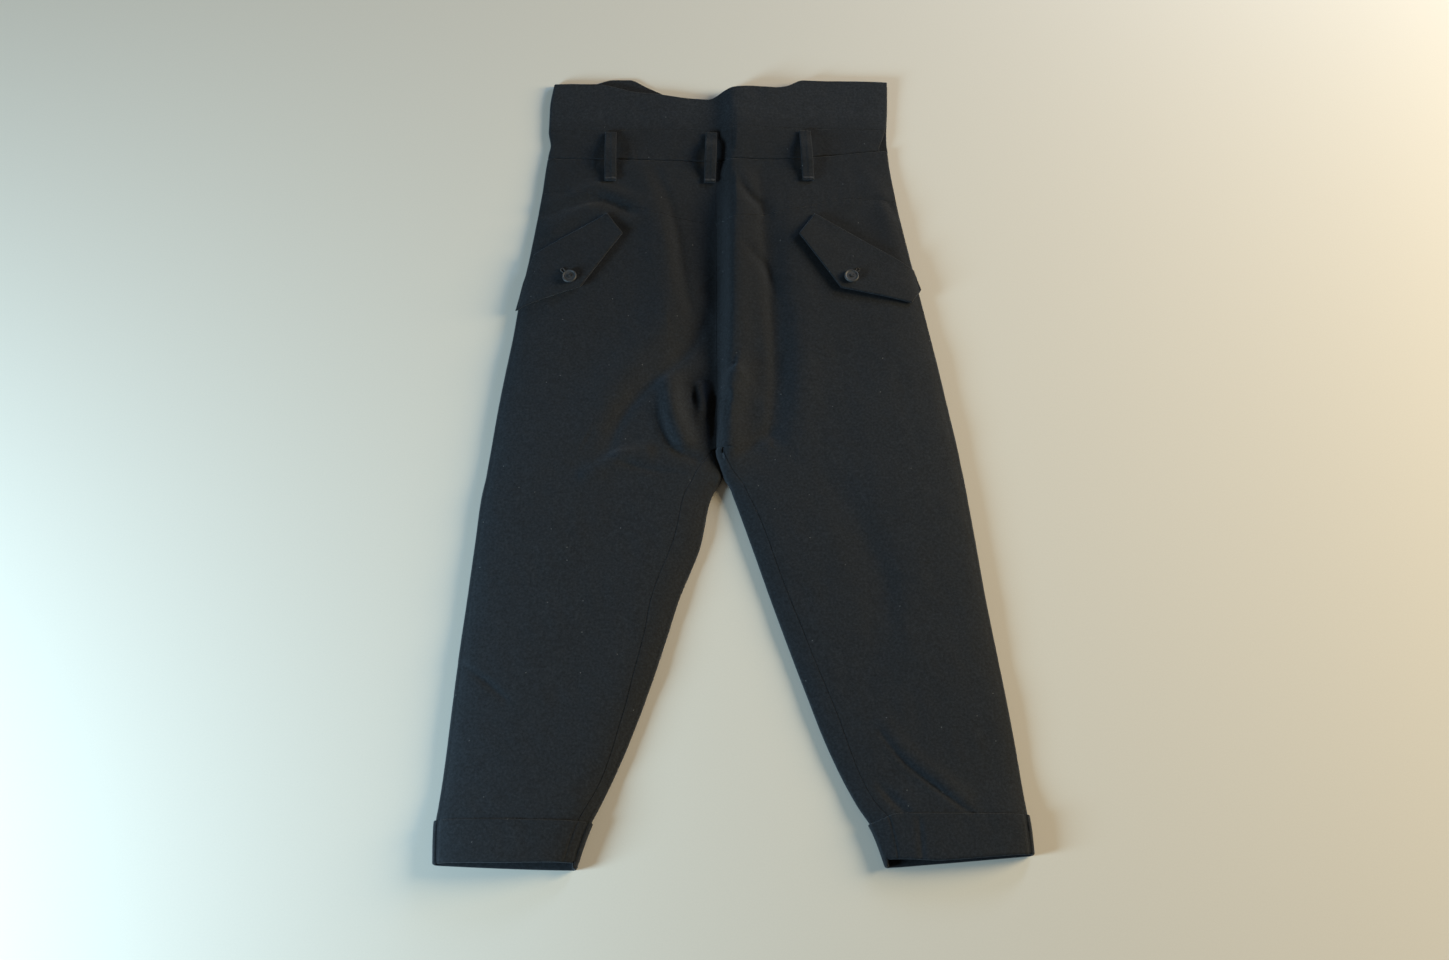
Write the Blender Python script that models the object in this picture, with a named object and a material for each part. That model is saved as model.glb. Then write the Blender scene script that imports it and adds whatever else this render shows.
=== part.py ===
"""High-waisted cropped breeches of dark wool, laid flat with their back upwards.

Run with: blender --background --python part.py

The two layers of the garment lie on each other. The front lies underneath, flat on the
surface, and the back lies over it in soft folds. Every cloth piece is a wall of even
thickness around a mid-surface that a function of two parameters gives: a row runs across
the garment, and a column runs from waist to hem. X points to the wearer's right, Y to the
waist and Z up. The origin is under the middle of the garment's box.
"""

import math
from collections import namedtuple

import bmesh
import bpy
import numpy as np

MM = 0.001

# Cloth thicknesses and clearances, in millimetres
CLOTH = 1.5
BAND_CLOTH = 2.2
FLAP_CLOTH = 2.4
LOOP_CLOTH = 2.4
SEAM_GAP = 0.34
UPPER_LAYER = 4.0
WRAP = 12.0
NORMAL_STEP = 0.01

# The middle of the garment's box, which becomes the origin
CENTRE_X = 7.7
CENTRE_Y = 47.4

# Levels along the length, as the row number that each seam or edge has
ROW_CUFF_EDGE = -380.0
ROW_CUFF_TOP = -340.0
ROW_EVEN_LOW = -250.0
ROW_CROTCH = 26.0
ROW_OPEN = 33.0
ROW_EVEN_HIGH = 100.0
ROW_YOKE = 300.0
ROW_WAIST = 377.0
ROW_BAND = 411.0
ROW_TOP = 473.0
ROW_LEG_END = -354.0

# Outline of the garment: height y, then x of the outer and inner edge of each leg.
# Above the crotch both inner edges are the centre seam.
Outline = namedtuple("Outline", "y left_outer left_inner right_inner right_outer")
OUTLINE = (
    Outline(-385, -258.6, -134.5, 146.5, 276.0),
    Outline(-345, -260.3, -121.5, 132.5, 274.8),
    Outline(-325, -258.5, -112.0, 120.0, 272.6),
    Outline(-277, -255.0, -91.5, 97.0, 268.0),
    Outline(-215, -251.4, -69.5, 74.2, 260.7),
    Outline(-166, -248.2, -54.6, 57.2, 254.2),
    Outline(-125, -245.0, -42.6, 43.4, 248.8),
    Outline(-74, -241.3, -23.7, 26.8, 243.4),
    Outline(-20, -237.4, -12.2, 8.6, 237.4),
    Outline(-9, -235.7, -6.3, 4.4, 236.2),
    Outline(0, -234.3, -2.3, -1.3, 235.1),
    Outline(12, -233.1, -5.2, -4.8, 233.4),
    Outline(26, -231.6, -8.2, -7.8, 231.6),
    Outline(82, -225.6, -7.2, -7.2, 222.6),
    Outline(157, -215.6, -7.7, -7.7, 210.1),
    Outline(193, -211.8, -7.9, -7.9, 203.6),
    Outline(249, -203.6, -8.2, -8.2, 193.6),
    Outline(307, -196.2, -8.6, -8.6, 183.6),
    Outline(334, -193.2, -8.8, -8.8, 180.0),
    Outline(364, -190.7, -8.9, -8.9, 176.4),
    Outline(379, -189.0, -9.0, -9.0, 175.4),
    Outline(392, -187.2, -9.0, -9.0, 174.6),
    Outline(411, -190.0, -9.0, -9.0, 175.0),
    Outline(440, -190.0, -9.0, -9.0, 177.0),
    Outline(475, -186.2, -9.0, -9.0, 178.4),
)

# Free edge of the back bands at the side opening, on the wearer's right
Opening = namedtuple("Opening", "y x")
BAND_OPENING = (
    Opening(372, 168.0),
    Opening(386, 166.0),
    Opening(399, 170.0),
    Opening(411, 173.2),
    Opening(440, 176.2),
    Opening(480, 178.0),
)

# The inseam lies on the back of each leg, this far in from the inner edge
Inseam = namedtuple("Inseam", "y left right")
INSEAM = (
    Inseam(-385, 8.5, 8.0),
    Inseam(-334, 8.5, 14.5),
    Inseam(-306, 7.2, 14.5),
    Inseam(-246, 12.4, 18.3),
    Inseam(-173, 18.0, 16.8),
    Inseam(-89, 25.0, 14.8),
    Inseam(-45, 23.0, 14.6),
    Inseam(-9, 24.0, 10.5),
    Inseam(0, 23.0, 9.0),
    Inseam(10, 15.5, 4.5),
    Inseam(19, 7.5, 1.6),
    Inseam(26, 0.8, 0.8),
)

# Seams and edges across the garment, as points x, y
CUFF_EDGE_LINE = ((-261, -378.2), (-200, -381.0), (-132, -382.7), (143, -380.5), (190, -377.0), (277, -369.6))
LEG_END_LINE = ((-262, -354), (-120, -357), (135, -355), (277, -347))
CUFF_TOP_LINE = ((-262, -339.3), (-119, -341.0), (130, -341.5), (157, -333.5), (277, -334.0))
YOKE_LINE = ((-194, 330), (-146, 328), (-96, 309), (-9, 293), (72, 306), (132, 321), (180, 319))
WAIST_LINE = ((-190, 374.5), (-134, 372), (-9, 370.5), (73, 372), (138, 380), (168, 384))
BAND_LINE = ((-190, 410), (-9, 411), (174, 411))
BACK_TOP_LINE = (
    (-190, 472), (-143, 472), (-96, 461), (-74, 459), (-45, 454), (-18, 452), (0, 461),
    (25, 465), (66, 466), (86, 475), (135, 475), (178, 474),
)
FRONT_TOP_LINE = (
    (-190, 470), (-145, 473), (-122, 480), (-104, 480), (-85, 470), (-45, 451), (-18, 449),
    (20, 458), (70, 462), (92, 472), (178, 471),
)

# Soft folds of the upper layer: widths on the left and right of someone who walks along
# the path, and the path itself as x, y and height of the crest
Fold = namedtuple("Fold", "name left right path")
FOLDS = (
    Fold("centre_ridge", 18, 9, ((11, 465, 3), (10, 384, 5), (9, 302, 13), (9, 223, 16), (8, 158, 14),
                                 (6, 95, 8))),
    Fold("band_slope", 72, 9, ((9, 480, 6.5), (10, 410, 6.5), (10, 360, 2))),
    Fold("right_bank", 14, 7, ((65, 302, 1), (75, 199, 2.5), (76, 107, 2.5), (70, 40, 1.2))),
    Fold("right_swell", 34, 26, ((86, 357, 1), (87, 252, 2.4), (89, 157, 2.2), (80, 80, 1))),
    Fold("left_ridge", 9, 16, ((-90, 358, 3), (-77, 314, 5), (-63, 259, 5.5), (-58, 187, 3))),
    Fold("bow", 14, 22, ((-35, 199, 3), (-76, 146, 5), (-107, 101, 5), (-128, 56, 3))),
    Fold("crotch_roll_left", 8, 10, ((-53, 98, 4), (-50, 68, 7), (-41, 40, 5))),
    Fold("crotch_curl", 5, 5, ((-26, 98, 4), (-22, 77, 6), (-24, 55, 3))),
    Fold("crotch_roll_right", 16, 9, ((9, 107, 7), (2, 62, 11), (2, 29, 9), (0, 3, 3))),
    Fold("below_left", 7, 9, ((-134, -1, 2), (-103, 17, 4.5), (-78, 23, 3))),
    Fold("hip_left", 10, 8, ((-191, 313, 1.5), (-163, 320, 2.6), (-132, 333, 3.2), (-96, 314, 2))),
    Fold("hip_band", 10, 9, ((-181, 283, 2), (-142, 305, 3), (-101, 291, 1.5))),
    Fold("left_thigh", 48, 48, ((-139, 204, 1), (-160, 88, 1.6), (-165, -43, 1.6), (-178, -166, 1.4))),
    Fold("right_thigh", 46, 46, ((150, 180, 1), (156, 66, 1.6), (158, -43, 1.6), (176, -166, 1.4))),
    Fold("left_shin", 40, 40, ((-184, -176, 0.6), (-187, -300, 1))),
    Fold("right_shin", 40, 40, ((186, -176, 0.6), (200, -300, 1))),
    Fold("right_hip", 10, 12, ((160, 345, 1), (172, 300, 2.2), (180, 268, 1))),
)
FOLD_SAMPLES = 5

# How far the cloth rises inwards from the folded outer edge of each leg, at a few heights y
CROWN_LEFT = ((-385, 9.5), (-250, 9.0), (0, 7.0), (330, 3.5), (400, 1.0), (480, 0.6))
CROWN_RIGHT = ((-385, 2.5), (0, 4.0), (330, 3.0), (400, 1.5), (480, 1.0))
CROWN_RUN = 26.0
CROWN_INNER_RUN = 16.0

# Belt loops: where each stands and how far it arches over the band
Loop = namedtuple("Loop", "name x_top x_foot arch")
LOOPS = (
    Loop("belt_loop_left", -122.5, -121.0, 5.4),
    Loop("belt_loop_centre", -14.0, -15.5, 7.0),
    Loop("belt_loop_right", 86.5, 89.0, 4.8),
)
LOOP_WIDTH = 12.5
LOOP_TOP = 406.5
LOOP_FOOT = 342.5
LOOP_REST = 0.5
LOOP_TAB = 0.13
LOOP_ROWS = 14

# Pocket flaps: corners of the sewn edge, the outer end and the free lower edge
Flap = namedtuple("Flap", "name seam_in seam_out side low_out low_mid low_in")
FLAPS = (
    Flap("flap_left", (-123.0, 300.0), (-198.0, 251.5), (-208.0, 218.5), (-214.5, 186.5), (-147.5, 209.0),
         (-106.0, 275.0)),
    Flap("flap_right", (94.5, 299.5), (196.5, 234.0), (203.0, 211.5), (192.0, 193.5), (119.5, 208.5),
         (77.5, 272.5)),
)
FLAP_REST = 0.85
FLAP_PROUD = 3.6
FLAP_CORNER = 0.36
FLAP_COLUMNS = 9
FLAP_ROWS = 5

# Buttons: one through each flap, as part of the way along and across it
BUTTON_ALONG = (0.47, 0.42)
BUTTON_ACROSS = (0.79, 0.78)
BUTTON_RADIUS = 7.4
BUTTON_THICK = 3.0
BUTTON_RIM = 1.5
BUTTON_DISH = 0.7
BUTTON_HOLE = 0.85
BUTTON_HOLE_RING = 1.75
BUTTON_SIDES = 24

# Columns of the upper layer, as fractions of the way from the centre to the outer fold.
# From 1 to 2 they go round the fold, and from 2 to 3 back under the edge.
BACK_COLUMNS = (
    0, 0.012, 0.03, 0.05, 0.075, 0.105, 0.14, 0.185, 0.24, 0.31,
    0.39, 0.48, 0.59, 0.71, 0.84, 0.93, 1, 1.34, 1.67, 2, 3,
)
FRONT_COLUMNS = (0, 0.25, 0.5, 0.75, 1)
LEG_ROWS = (
    ROW_LEG_END, -342, -328, -312, -288, -258, -225, -190, -155, -120, -90, -62, -38, -18, -7, 3, 14,
    ROW_CROTCH, ROW_OPEN, 42, 52, 62, 72, 82, 93, 105, 119, 135, 154, 175, 197, 219, 240, 260, 280, ROW_YOKE,
)
YOKE_ROWS = (ROW_YOKE, 317, 336, 356, ROW_WAIST)
BAND_ROWS = (ROW_WAIST, 388, 399, ROW_BAND)
TOP_BAND_ROWS = (ROW_BAND, 425, 441, 457, ROW_TOP)

# Colours of the cloth and the buttons, with their roughness
WOOL_COLOUR = (0.0085, 0.0105, 0.0145)
WOOL_ROUGHNESS = 0.92
BUTTON_COLOUR = (0.016, 0.018, 0.021)
BUTTON_ROUGHNESS = 0.38


def curve(xs, ys, x):
    """Smooth curve through the points xs, ys, whose slope at each is that of its neighbours."""
    xs, ys, x = np.asarray(xs, float), np.asarray(ys, float), np.asarray(x, float)
    slopes = np.diff(ys) / np.diff(xs)
    tangents = np.concatenate(([slopes[0]], (slopes[1:] + slopes[:-1]) / 2, [slopes[-1]]))
    tangents[1:-1] = np.where(slopes[1:] * slopes[:-1] > 0, tangents[1:-1], 0)
    i = np.clip(np.searchsorted(xs, x) - 1, 0, len(xs) - 2)
    step = xs[i + 1] - xs[i]
    t = np.clip((x - xs[i]) / step, 0, 1)
    ease = t * t * (3 - 2 * t)
    start, end = t * (1 - t) ** 2, t * t * (t - 1)
    return ys[i] + (ys[i + 1] - ys[i]) * ease + step * (tangents[i] * start + tangents[i + 1] * end)


def line(points, x):
    """The height of a seam or an edge at x."""
    xs, ys = zip(*points)
    return curve(xs, ys, x)


def edge(column, y):
    """The x of one edge of the outline at height y."""
    return curve([row.y for row in OUTLINE], [getattr(row, column) for row in OUTLINE], y)


def smooth_step(low, high, x):
    """Rises softly from 0 at low to 1 at high."""
    t = np.clip((x - low) / (high - low), 0, 1)
    return t * t * (3 - 2 * t)


def fold_path(fold):
    """The crest of a fold as a smooth run of points x, y and height."""
    knots = np.array(fold.path, float)
    fine = np.linspace(0, len(knots) - 1, (len(knots) - 1) * FOLD_SAMPLES + 1)
    return np.stack([curve(np.arange(len(knots)), knots[:, k], fine) for k in range(3)], axis=1)


CRESTS = [(fold, fold_path(fold)) for fold in FOLDS]


def fold_height(fold, path, x, y):
    """One fold: a bell-shaped ridge about its crest, with a width of its own on each side."""
    shape, x, y = np.shape(x), np.reshape(x, (-1, 1)), np.reshape(y, (-1, 1))
    (x0, y0, h0), (x1, y1, h1) = path[:-1].T, path[1:].T
    dx, dy = x1 - x0, y1 - y0
    t = np.clip(((x - x0) * dx + (y - y0) * dy) / (dx * dx + dy * dy), 0, 1)
    off_x, off_y = x - x0 - t * dx, y - y0 - t * dy
    width = np.where(dx * off_y - dy * off_x > 0, fold.left, fold.right)
    distance = (off_x**2 + off_y**2) / width**2
    nearest = np.argmin(distance, axis=1)[:, None]
    crest = np.take_along_axis(h0 + t * (h1 - h0), nearest, 1)
    return (crest * np.exp(-np.take_along_axis(distance, nearest, 1))).reshape(shape)


def hem_lift(y):
    """How far the leg is raised near the hem by the turn-up that lies under it."""
    return (CLOTH + SEAM_GAP + 0.05) * (1 - smooth_step(-334, -300, y))


def crown(x, y):
    """Rise from the edges: 0 at an edge, and towards its full height as 1 - exp(-distance / run)."""
    total = np.zeros(np.shape(x))
    legs = smooth_step(ROW_EVEN_HIGH, ROW_CROTCH, y)
    for name, side, heights in (("left", -1, CROWN_LEFT), ("right", 1, CROWN_RIGHT)):
        outer = np.maximum(side * (edge(f"{name}_outer", y) - x), 0)
        inner = np.maximum(side * (x - edge(f"{name}_inner", y)), 0)
        at_centre = smooth_step(0, 60, inner)
        at_leg = 1 - np.exp(-inner / CROWN_INNER_RUN)
        share = at_centre + (at_leg - at_centre) * legs
        total += line(heights, y) * (1 - np.exp(-outer / CROWN_RUN)) * share
    return total


def upper(x, y):
    """Height of the upper layer's middle above the surface."""
    return UPPER_LAYER + hem_lift(y) + crown(x, y) + sum(fold_height(*crest, x, y) for crest in CRESTS)


def level_y(levels, row, x):
    """Height y of a row at x: each level is a seam or an edge, and rows between follow both."""
    rows = np.array([level[0] for level in levels], float)
    lines = np.stack([line(at, x) if isinstance(at, tuple) else at + 0 * x for _, at in levels])
    i = np.clip(np.searchsorted(rows, row) - 1, 0, len(rows) - 2)
    low = np.take_along_axis(lines, i[None], 0)[0]
    high = np.take_along_axis(lines, i[None] + 1, 0)[0]
    return low + (high - low) * (row - rows[i]) / (rows[i + 1] - rows[i])


COMMON_LEVELS = (
    (ROW_CUFF_EDGE, CUFF_EDGE_LINE),
    (ROW_LEG_END, LEG_END_LINE),
    (ROW_CUFF_TOP, CUFF_TOP_LINE),
    (ROW_EVEN_LOW, ROW_EVEN_LOW),
    (ROW_EVEN_HIGH, ROW_EVEN_HIGH),
    (ROW_YOKE, YOKE_LINE),
    (ROW_WAIST, WAIST_LINE),
    (ROW_BAND, BAND_LINE),
)
BACK_LEVELS = COMMON_LEVELS + ((ROW_TOP, BACK_TOP_LINE),)
FRONT_LEVELS = COMMON_LEVELS + ((ROW_TOP, FRONT_TOP_LINE),)


class Half:
    """One half of the garment: side is -1 for the wearer's left and 1 for the right."""

    def __init__(self, side, levels=BACK_LEVELS, thickness=CLOTH):
        self.side = side
        self.levels = levels
        self.thickness = thickness
        self.name = "left" if side < 0 else "right"

    def row_y(self, row, x):
        return level_y(self.levels, row, x)

    def fold(self, which, row):
        """Where a folded edge lies on a row: its straight layers end at x, the loop has this radius."""
        outward = self.side if which == "outer" else -self.side
        x = edge(f"{self.name}_{which}", row)
        radius = np.full(np.shape(row), (UPPER_LAYER - self.thickness / 2) / 2)
        for _ in range(3):
            y = self.row_y(row, x + outward * radius)
            x = edge(f"{self.name}_{which}", y) - outward * (self.thickness / 2 + radius)
            low = self.thickness / 2 + hem_lift(y)
            radius = (upper(x, y) - low) / 2
        return x, radius, low

    def seam_x(self, row):
        """Where the upper layer starts: at the centre seam, or at the inseam below the crotch."""
        centre = edge(f"{self.name}_inner", row) + self.side * SEAM_GAP / 2
        start, _, _ = self.fold("inner", row)
        inset = curve([r.y for r in INSEAM], [getattr(r, self.name) for r in INSEAM], row)
        inseam = start + self.side * (inset + SEAM_GAP / 2)
        return np.where(row > (ROW_CROTCH + ROW_OPEN) / 2, centre, inseam)

    def back(self, column, row):
        """The upper layer: 0 to 1 over the top, 1 to 2 round the outer fold, 2 to 3 underneath."""
        start, (end, radius, low) = self.seam_x(row), self.fold("outer", row)
        x = start + (end - start) * np.minimum(column, 1)
        angle = np.pi * (np.clip(column, 1, 2) - 1)
        x = x + self.side * (radius * np.sin(angle) - WRAP * np.maximum(column - 2, 0))
        y = self.row_y(row, x)
        top = np.where(column < 1, upper(x, y), low + 2 * radius)
        z = np.where(column <= 1, top, low + radius * (1 + np.cos(angle)))
        return np.stack([x, y, z], axis=-1)

    def front(self, column, row):
        """The lower layer: 0 to 1 along the surface, then on round the inner fold to the inseam.

        Past 1 the column counts millimetres along the cloth. Above the crotch the cloth stays
        on the surface and ends at the centre.
        """
        outer, _, _ = self.fold("outer", row)
        turn, radius, low = self.fold("inner", row)
        begin = outer - self.side * (WRAP + SEAM_GAP)
        past = np.maximum(column - 1, 0)
        x_flat = begin + (turn - begin) * np.minimum(column, 1) - self.side * past
        arc = np.pi * radius
        angle = np.clip(past, 0, arc) / radius
        x_turn = begin + (turn - begin) * np.minimum(column, 1)
        x_turn = x_turn - self.side * (radius * np.sin(angle) - np.maximum(past - arc, 0))
        opened = row > (ROW_CROTCH + ROW_OPEN) / 2
        x = np.where(opened, x_flat, x_turn)
        y = self.row_y(row, x)
        low = self.thickness / 2 + hem_lift(y)
        on_top = np.where(past > arc, upper(x, y), low + radius * (1 - np.cos(angle)))
        z = np.where(opened | (column <= 1), low, on_top)
        return np.stack([x, y, z], axis=-1)

    def front_columns(self, rows, flat_columns, fold_steps, top_steps):
        """Columns of the lower layer, one set for each row, which slide along the cloth."""
        rows = np.asarray(rows, float)
        turn, radius, _ = self.fold("inner", rows)
        inset = curve([r.y for r in INSEAM], [getattr(r, self.name) for r in INSEAM], rows)
        arc = np.pi * radius
        ends = np.where(rows > (ROW_CROTCH + ROW_OPEN) / 2,
                        np.abs(turn - edge(f"{self.name}_inner", rows)) - SEAM_GAP / 2,
                        arc + inset - SEAM_GAP / 2)
        table = []
        for end, full in zip(ends, arc):
            steps = [full * k / fold_steps for k in range(1, fold_steps + 1)]
            steps += [full + (end - full) * k / top_steps for k in range(1, top_steps + 1)]
            least = end / (2 * len(steps))
            kept = [min(s, end - (len(steps) - 1 - k) * least) for k, s in enumerate(steps)]
            kept = kept if end > full else [end * (k + 1) / len(steps) for k in range(len(steps))]
            table.append(list(flat_columns) + [1 + s for s in kept])
        return np.array(table)


def material(name, colour, roughness):
    """A Principled material, made once."""
    found = bpy.data.materials.get(name)
    if found:
        return found
    made = bpy.data.materials.new(name)
    made.use_nodes = True
    shader = made.node_tree.nodes["Principled BSDF"]
    shader.inputs["Base Color"].default_value = (*colour, 1)
    shader.inputs["Roughness"].default_value = roughness
    shader.inputs["Metallic"].default_value = 0
    return made


def wool():
    return material("dark_wool", WOOL_COLOUR, WOOL_ROUGHNESS)


def plastic():
    return material("button_plastic", BUTTON_COLOUR, BUTTON_ROUGHNESS)


def add_object(name, points, faces, finish, smooth_angle=40):
    """One closed body from points in millimetres in the garment's frame."""
    shifted = (np.asarray(points) - (CENTRE_X, CENTRE_Y, 0)) * MM
    mesh = bpy.data.meshes.new(name)
    mesh.from_pydata(shifted.tolist(), [], [list(face) for face in faces])
    shape = bmesh.new()
    shape.from_mesh(mesh)
    bmesh.ops.triangulate(shape, faces=shape.faces)
    bmesh.ops.recalc_face_normals(shape, faces=shape.faces)
    shape.to_mesh(mesh)
    shape.free()
    mesh.shade_smooth()
    mesh.set_sharp_from_angle(angle=math.radians(smooth_angle))
    mesh.materials.append(finish)
    made = bpy.data.objects.new(name, mesh)
    bpy.context.scene.collection.objects.link(made)
    return made


def grid_faces(columns, rows, offset, closed):
    """Quads between neighbours of a grid whose rows hold this many points."""
    faces = []
    for j in range(rows - 1):
        for i in range(columns if closed else columns - 1):
            right = (i + 1) % columns
            faces.append([offset + j * columns + i, offset + j * columns + right,
                          offset + (j + 1) * columns + right, offset + (j + 1) * columns + i])
    return faces


def wall(name, surface, columns, rows, thickness, finish, closed=False):
    """A wall of even thickness about a surface.

    surface(column, row) gives the middle of the wall. The normal is the cross product of its
    two slopes, so pieces that meet at a seam have the same one.
    """
    column = np.asarray(columns, float)
    row = np.asarray(rows, float)
    if column.ndim == 1:
        column = np.tile(column, (len(row), 1))
    row = np.tile(row[:, None], (1, column.shape[1]))
    across = surface(column + NORMAL_STEP, row) - surface(column - NORMAL_STEP, row)
    along = surface(column, row + NORMAL_STEP) - surface(column, row - NORMAL_STEP)
    normal = np.cross(across, along)
    normal /= np.linalg.norm(normal, axis=-1, keepdims=True)
    middle = surface(column, row)
    count_rows, count_columns = column.shape
    size = count_rows * count_columns
    points = np.concatenate([(middle + normal * thickness / 2).reshape(-1, 3),
                             (middle - normal * thickness / 2).reshape(-1, 3)])
    faces = grid_faces(count_columns, count_rows, 0, closed)
    faces += [face[::-1] for face in grid_faces(count_columns, count_rows, size, closed)]
    last = (count_rows - 1) * count_columns
    for i in range(count_columns if closed else count_columns - 1):
        right = (i + 1) % count_columns
        faces.append([right, i, size + i, size + right])
        faces.append([last + i, last + right, size + last + right, size + last + i])
    if not closed:
        for j in range(count_rows - 1):
            low, high = j * count_columns, (j + 1) * count_columns
            faces.append([low, high, size + high, size + low])
            faces.append([high + count_columns - 1, low + count_columns - 1,
                          size + low + count_columns - 1, size + high + count_columns - 1])
    return add_object(name, points, faces, finish)


def between(rows):
    """Rows of one piece, drawn in by half a seam gap at both ends."""
    return (rows[0] + SEAM_GAP / 2,) + tuple(rows[1:-1]) + (rows[-1] - SEAM_GAP / 2,)


def make_back_leg(side):
    half = Half(side)
    rows = LEG_ROWS[:-1] + (ROW_YOKE - SEAM_GAP / 2,)
    wall(f"back_leg_{half.name}", half.back, BACK_COLUMNS, rows, CLOTH, wool())


def make_yoke(side):
    half = Half(side)
    wall(f"back_yoke_{half.name}", half.back, BACK_COLUMNS, between(YOKE_ROWS), CLOTH, wool())


def make_front_leg(side):
    half = Half(side, FRONT_LEVELS)
    rows = LEG_ROWS + YOKE_ROWS[1:-1] + (ROW_WAIST - SEAM_GAP / 2,)
    columns = half.front_columns(rows, FRONT_COLUMNS, 3, 2)
    wall(f"front_leg_{half.name}", half.front, columns, rows, CLOTH, wool())


def back_band_point(column, row):
    """The back bands: negative columns are the left half, positive ones end at the opening."""
    left = Half(-1, BACK_LEVELS, BAND_CLOTH)
    centre = edge("left_inner", row)
    outer, radius, low = left.fold("outer", row)
    near_opening = level_y(BACK_LEVELS, row, 172 + 0 * row)
    free = curve([o.y for o in BAND_OPENING], [o.x for o in BAND_OPENING], near_opening)
    on_left = np.maximum(-column, 0)
    angle = np.pi * (np.clip(on_left, 1, 2) - 1)
    x = centre + (outer - centre) * np.minimum(on_left, 1) + (free - centre) * np.maximum(column, 0)
    x = x - radius * np.sin(angle) + WRAP * np.maximum(on_left - 2, 0)
    y = level_y(BACK_LEVELS, row, x)
    z = np.where(on_left < 1, upper(x, y), low + radius * (1 + np.cos(angle)))
    return np.stack([x, y, z], axis=-1)


def make_back_bands():
    columns = [-c for c in reversed(BACK_COLUMNS)] + [c for c in BACK_COLUMNS if 0 < c <= 1]
    wall("waistband_back", back_band_point, columns, between(BAND_ROWS), BAND_CLOTH, wool())
    wall("top_band_back", back_band_point, columns, between(TOP_BAND_ROWS), BAND_CLOTH, wool())


def front_band_point(column, row):
    """The front bands lie flat: -1 is the left side seam, 0 the centre and 2 the free right edge."""
    (left, _, _), (right, _, _) = (Half(side, FRONT_LEVELS).fold("outer", row) for side in (-1, 1))
    begin, centre, seam = left + WRAP + SEAM_GAP, edge("left_inner", row), right - WRAP - SEAM_GAP
    free = edge("right_outer", row)
    x = centre + (centre - begin) * np.minimum(column, 0) + (seam - centre) * np.clip(column, 0, 1)
    x = x + (free - seam) * np.maximum(column - 1, 0)
    y = level_y(FRONT_LEVELS, row, x)
    return np.stack([x, y, np.full(np.shape(x), BAND_CLOTH / 2)], axis=-1)


def make_front_bands():
    columns = [c - 1 for c in FRONT_COLUMNS] + [1 - c for c in reversed(FRONT_COLUMNS[:-1])] + [1.4, 2]
    wall("waistband_front", front_band_point, columns, between(BAND_ROWS), BAND_CLOTH, wool())
    wall("top_band_front", front_band_point, columns, between(TOP_BAND_ROWS), BAND_CLOTH, wool())


def make_cuff(side):
    """The turn-up: a ring round the leg whose section runs up inside, round the edge and down."""
    half = Half(side)
    out = CLOTH + SEAM_GAP + 0.05
    turn = out / 2
    inner_end = ROW_LEG_END - SEAM_GAP
    bottom = ROW_CUFF_EDGE + turn + CLOTH / 2
    top = ROW_CUFF_TOP

    def section(step):
        """Row and outward offset along the section: 0 to 1 inside, 1 to 2 the turn, 2 to 3 outside."""
        angle = np.pi * (np.clip(step, 1, 2) - 1)
        row = inner_end + (bottom - inner_end) * np.minimum(step, 1)
        row = row - turn * np.sin(angle) + (top - bottom) * np.maximum(step - 2, 0)
        return row, turn * (1 - np.cos(angle))

    def ring(place, row):
        """The leg's own loop: 0 to 1 over the top, 1 to 2 outer fold, 2 to 3 under, 3 to 4 inner fold."""
        inner, inner_radius, _ = half.fold("inner", row)
        outer, radius, low = half.fold("outer", row)
        place = np.mod(place, 4)
        over, under = np.clip(place, 0, 1), np.clip(place - 2, 0, 1)
        x = inner + (outer - inner) * (over - under)
        outer_angle = np.pi * np.clip(place - 1, 0, 1)
        inner_angle = np.pi * np.clip(place - 3, 0, 1)
        x = x + side * (radius * np.sin(outer_angle) - inner_radius * np.sin(inner_angle))
        y = level_y(BACK_LEVELS, row, x)
        top_z = upper(x, y)
        z = np.where(place <= 1, top_z, low + radius * (1 + np.cos(outer_angle)))
        z = np.where(place > 2, low, z)
        z = np.where(place > 3, low + inner_radius * (1 - np.cos(inner_angle)), z)
        return np.stack([x, y, z], axis=-1)

    def surface(place, step):
        row, offset = section(step)
        around = ring(place + NORMAL_STEP, row) - ring(place - NORMAL_STEP, row)
        down = ring(place, row + NORMAL_STEP) - ring(place, row - NORMAL_STEP)
        normal = np.cross(down, around) * -side
        normal /= np.linalg.norm(normal, axis=-1, keepdims=True)
        return ring(place, row) + normal * offset[..., None]

    over = [0, 0.04, 0.1, 0.18, 0.28, 0.4, 0.52, 0.64, 0.76, 0.85, 0.92, 0.97]
    places = over + [1, 1.33, 1.67, 2, 2.25, 2.5, 2.75, 3, 3.33, 3.67]
    steps = (0, 0.96, 1.33, 1.67, 2.04, 2.5, 3)
    wall(f"cuff_{half.name}", surface, places, steps, CLOTH, wool(), closed=True)


def make_belt_loops():
    """Each loop is a strip that is sewn down at both ends and arches over the band between."""
    for loop in LOOPS:

        def surface(across, along, loop=loop):
            x = loop.x_foot + (loop.x_top - loop.x_foot) * along + across * LOOP_WIDTH / 2
            y = LOOP_FOOT + (LOOP_TOP - LOOP_FOOT) * along
            rise = smooth_step(LOOP_TAB, 0.42, along) * (1 - smooth_step(0.6, 1 - LOOP_TAB / 2, along))
            middle = x - across * LOOP_WIDTH / 2
            ground = upper(x, y) * (1 - rise) + upper(middle, y) * rise
            z = ground + (BAND_CLOTH + LOOP_CLOTH) / 2 + LOOP_REST + loop.arch * rise
            return np.stack([x, y, z], axis=-1)

        wall(loop.name, surface, (-1, 0, 1), np.linspace(0, 1, LOOP_ROWS), LOOP_CLOTH, wool())


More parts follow.
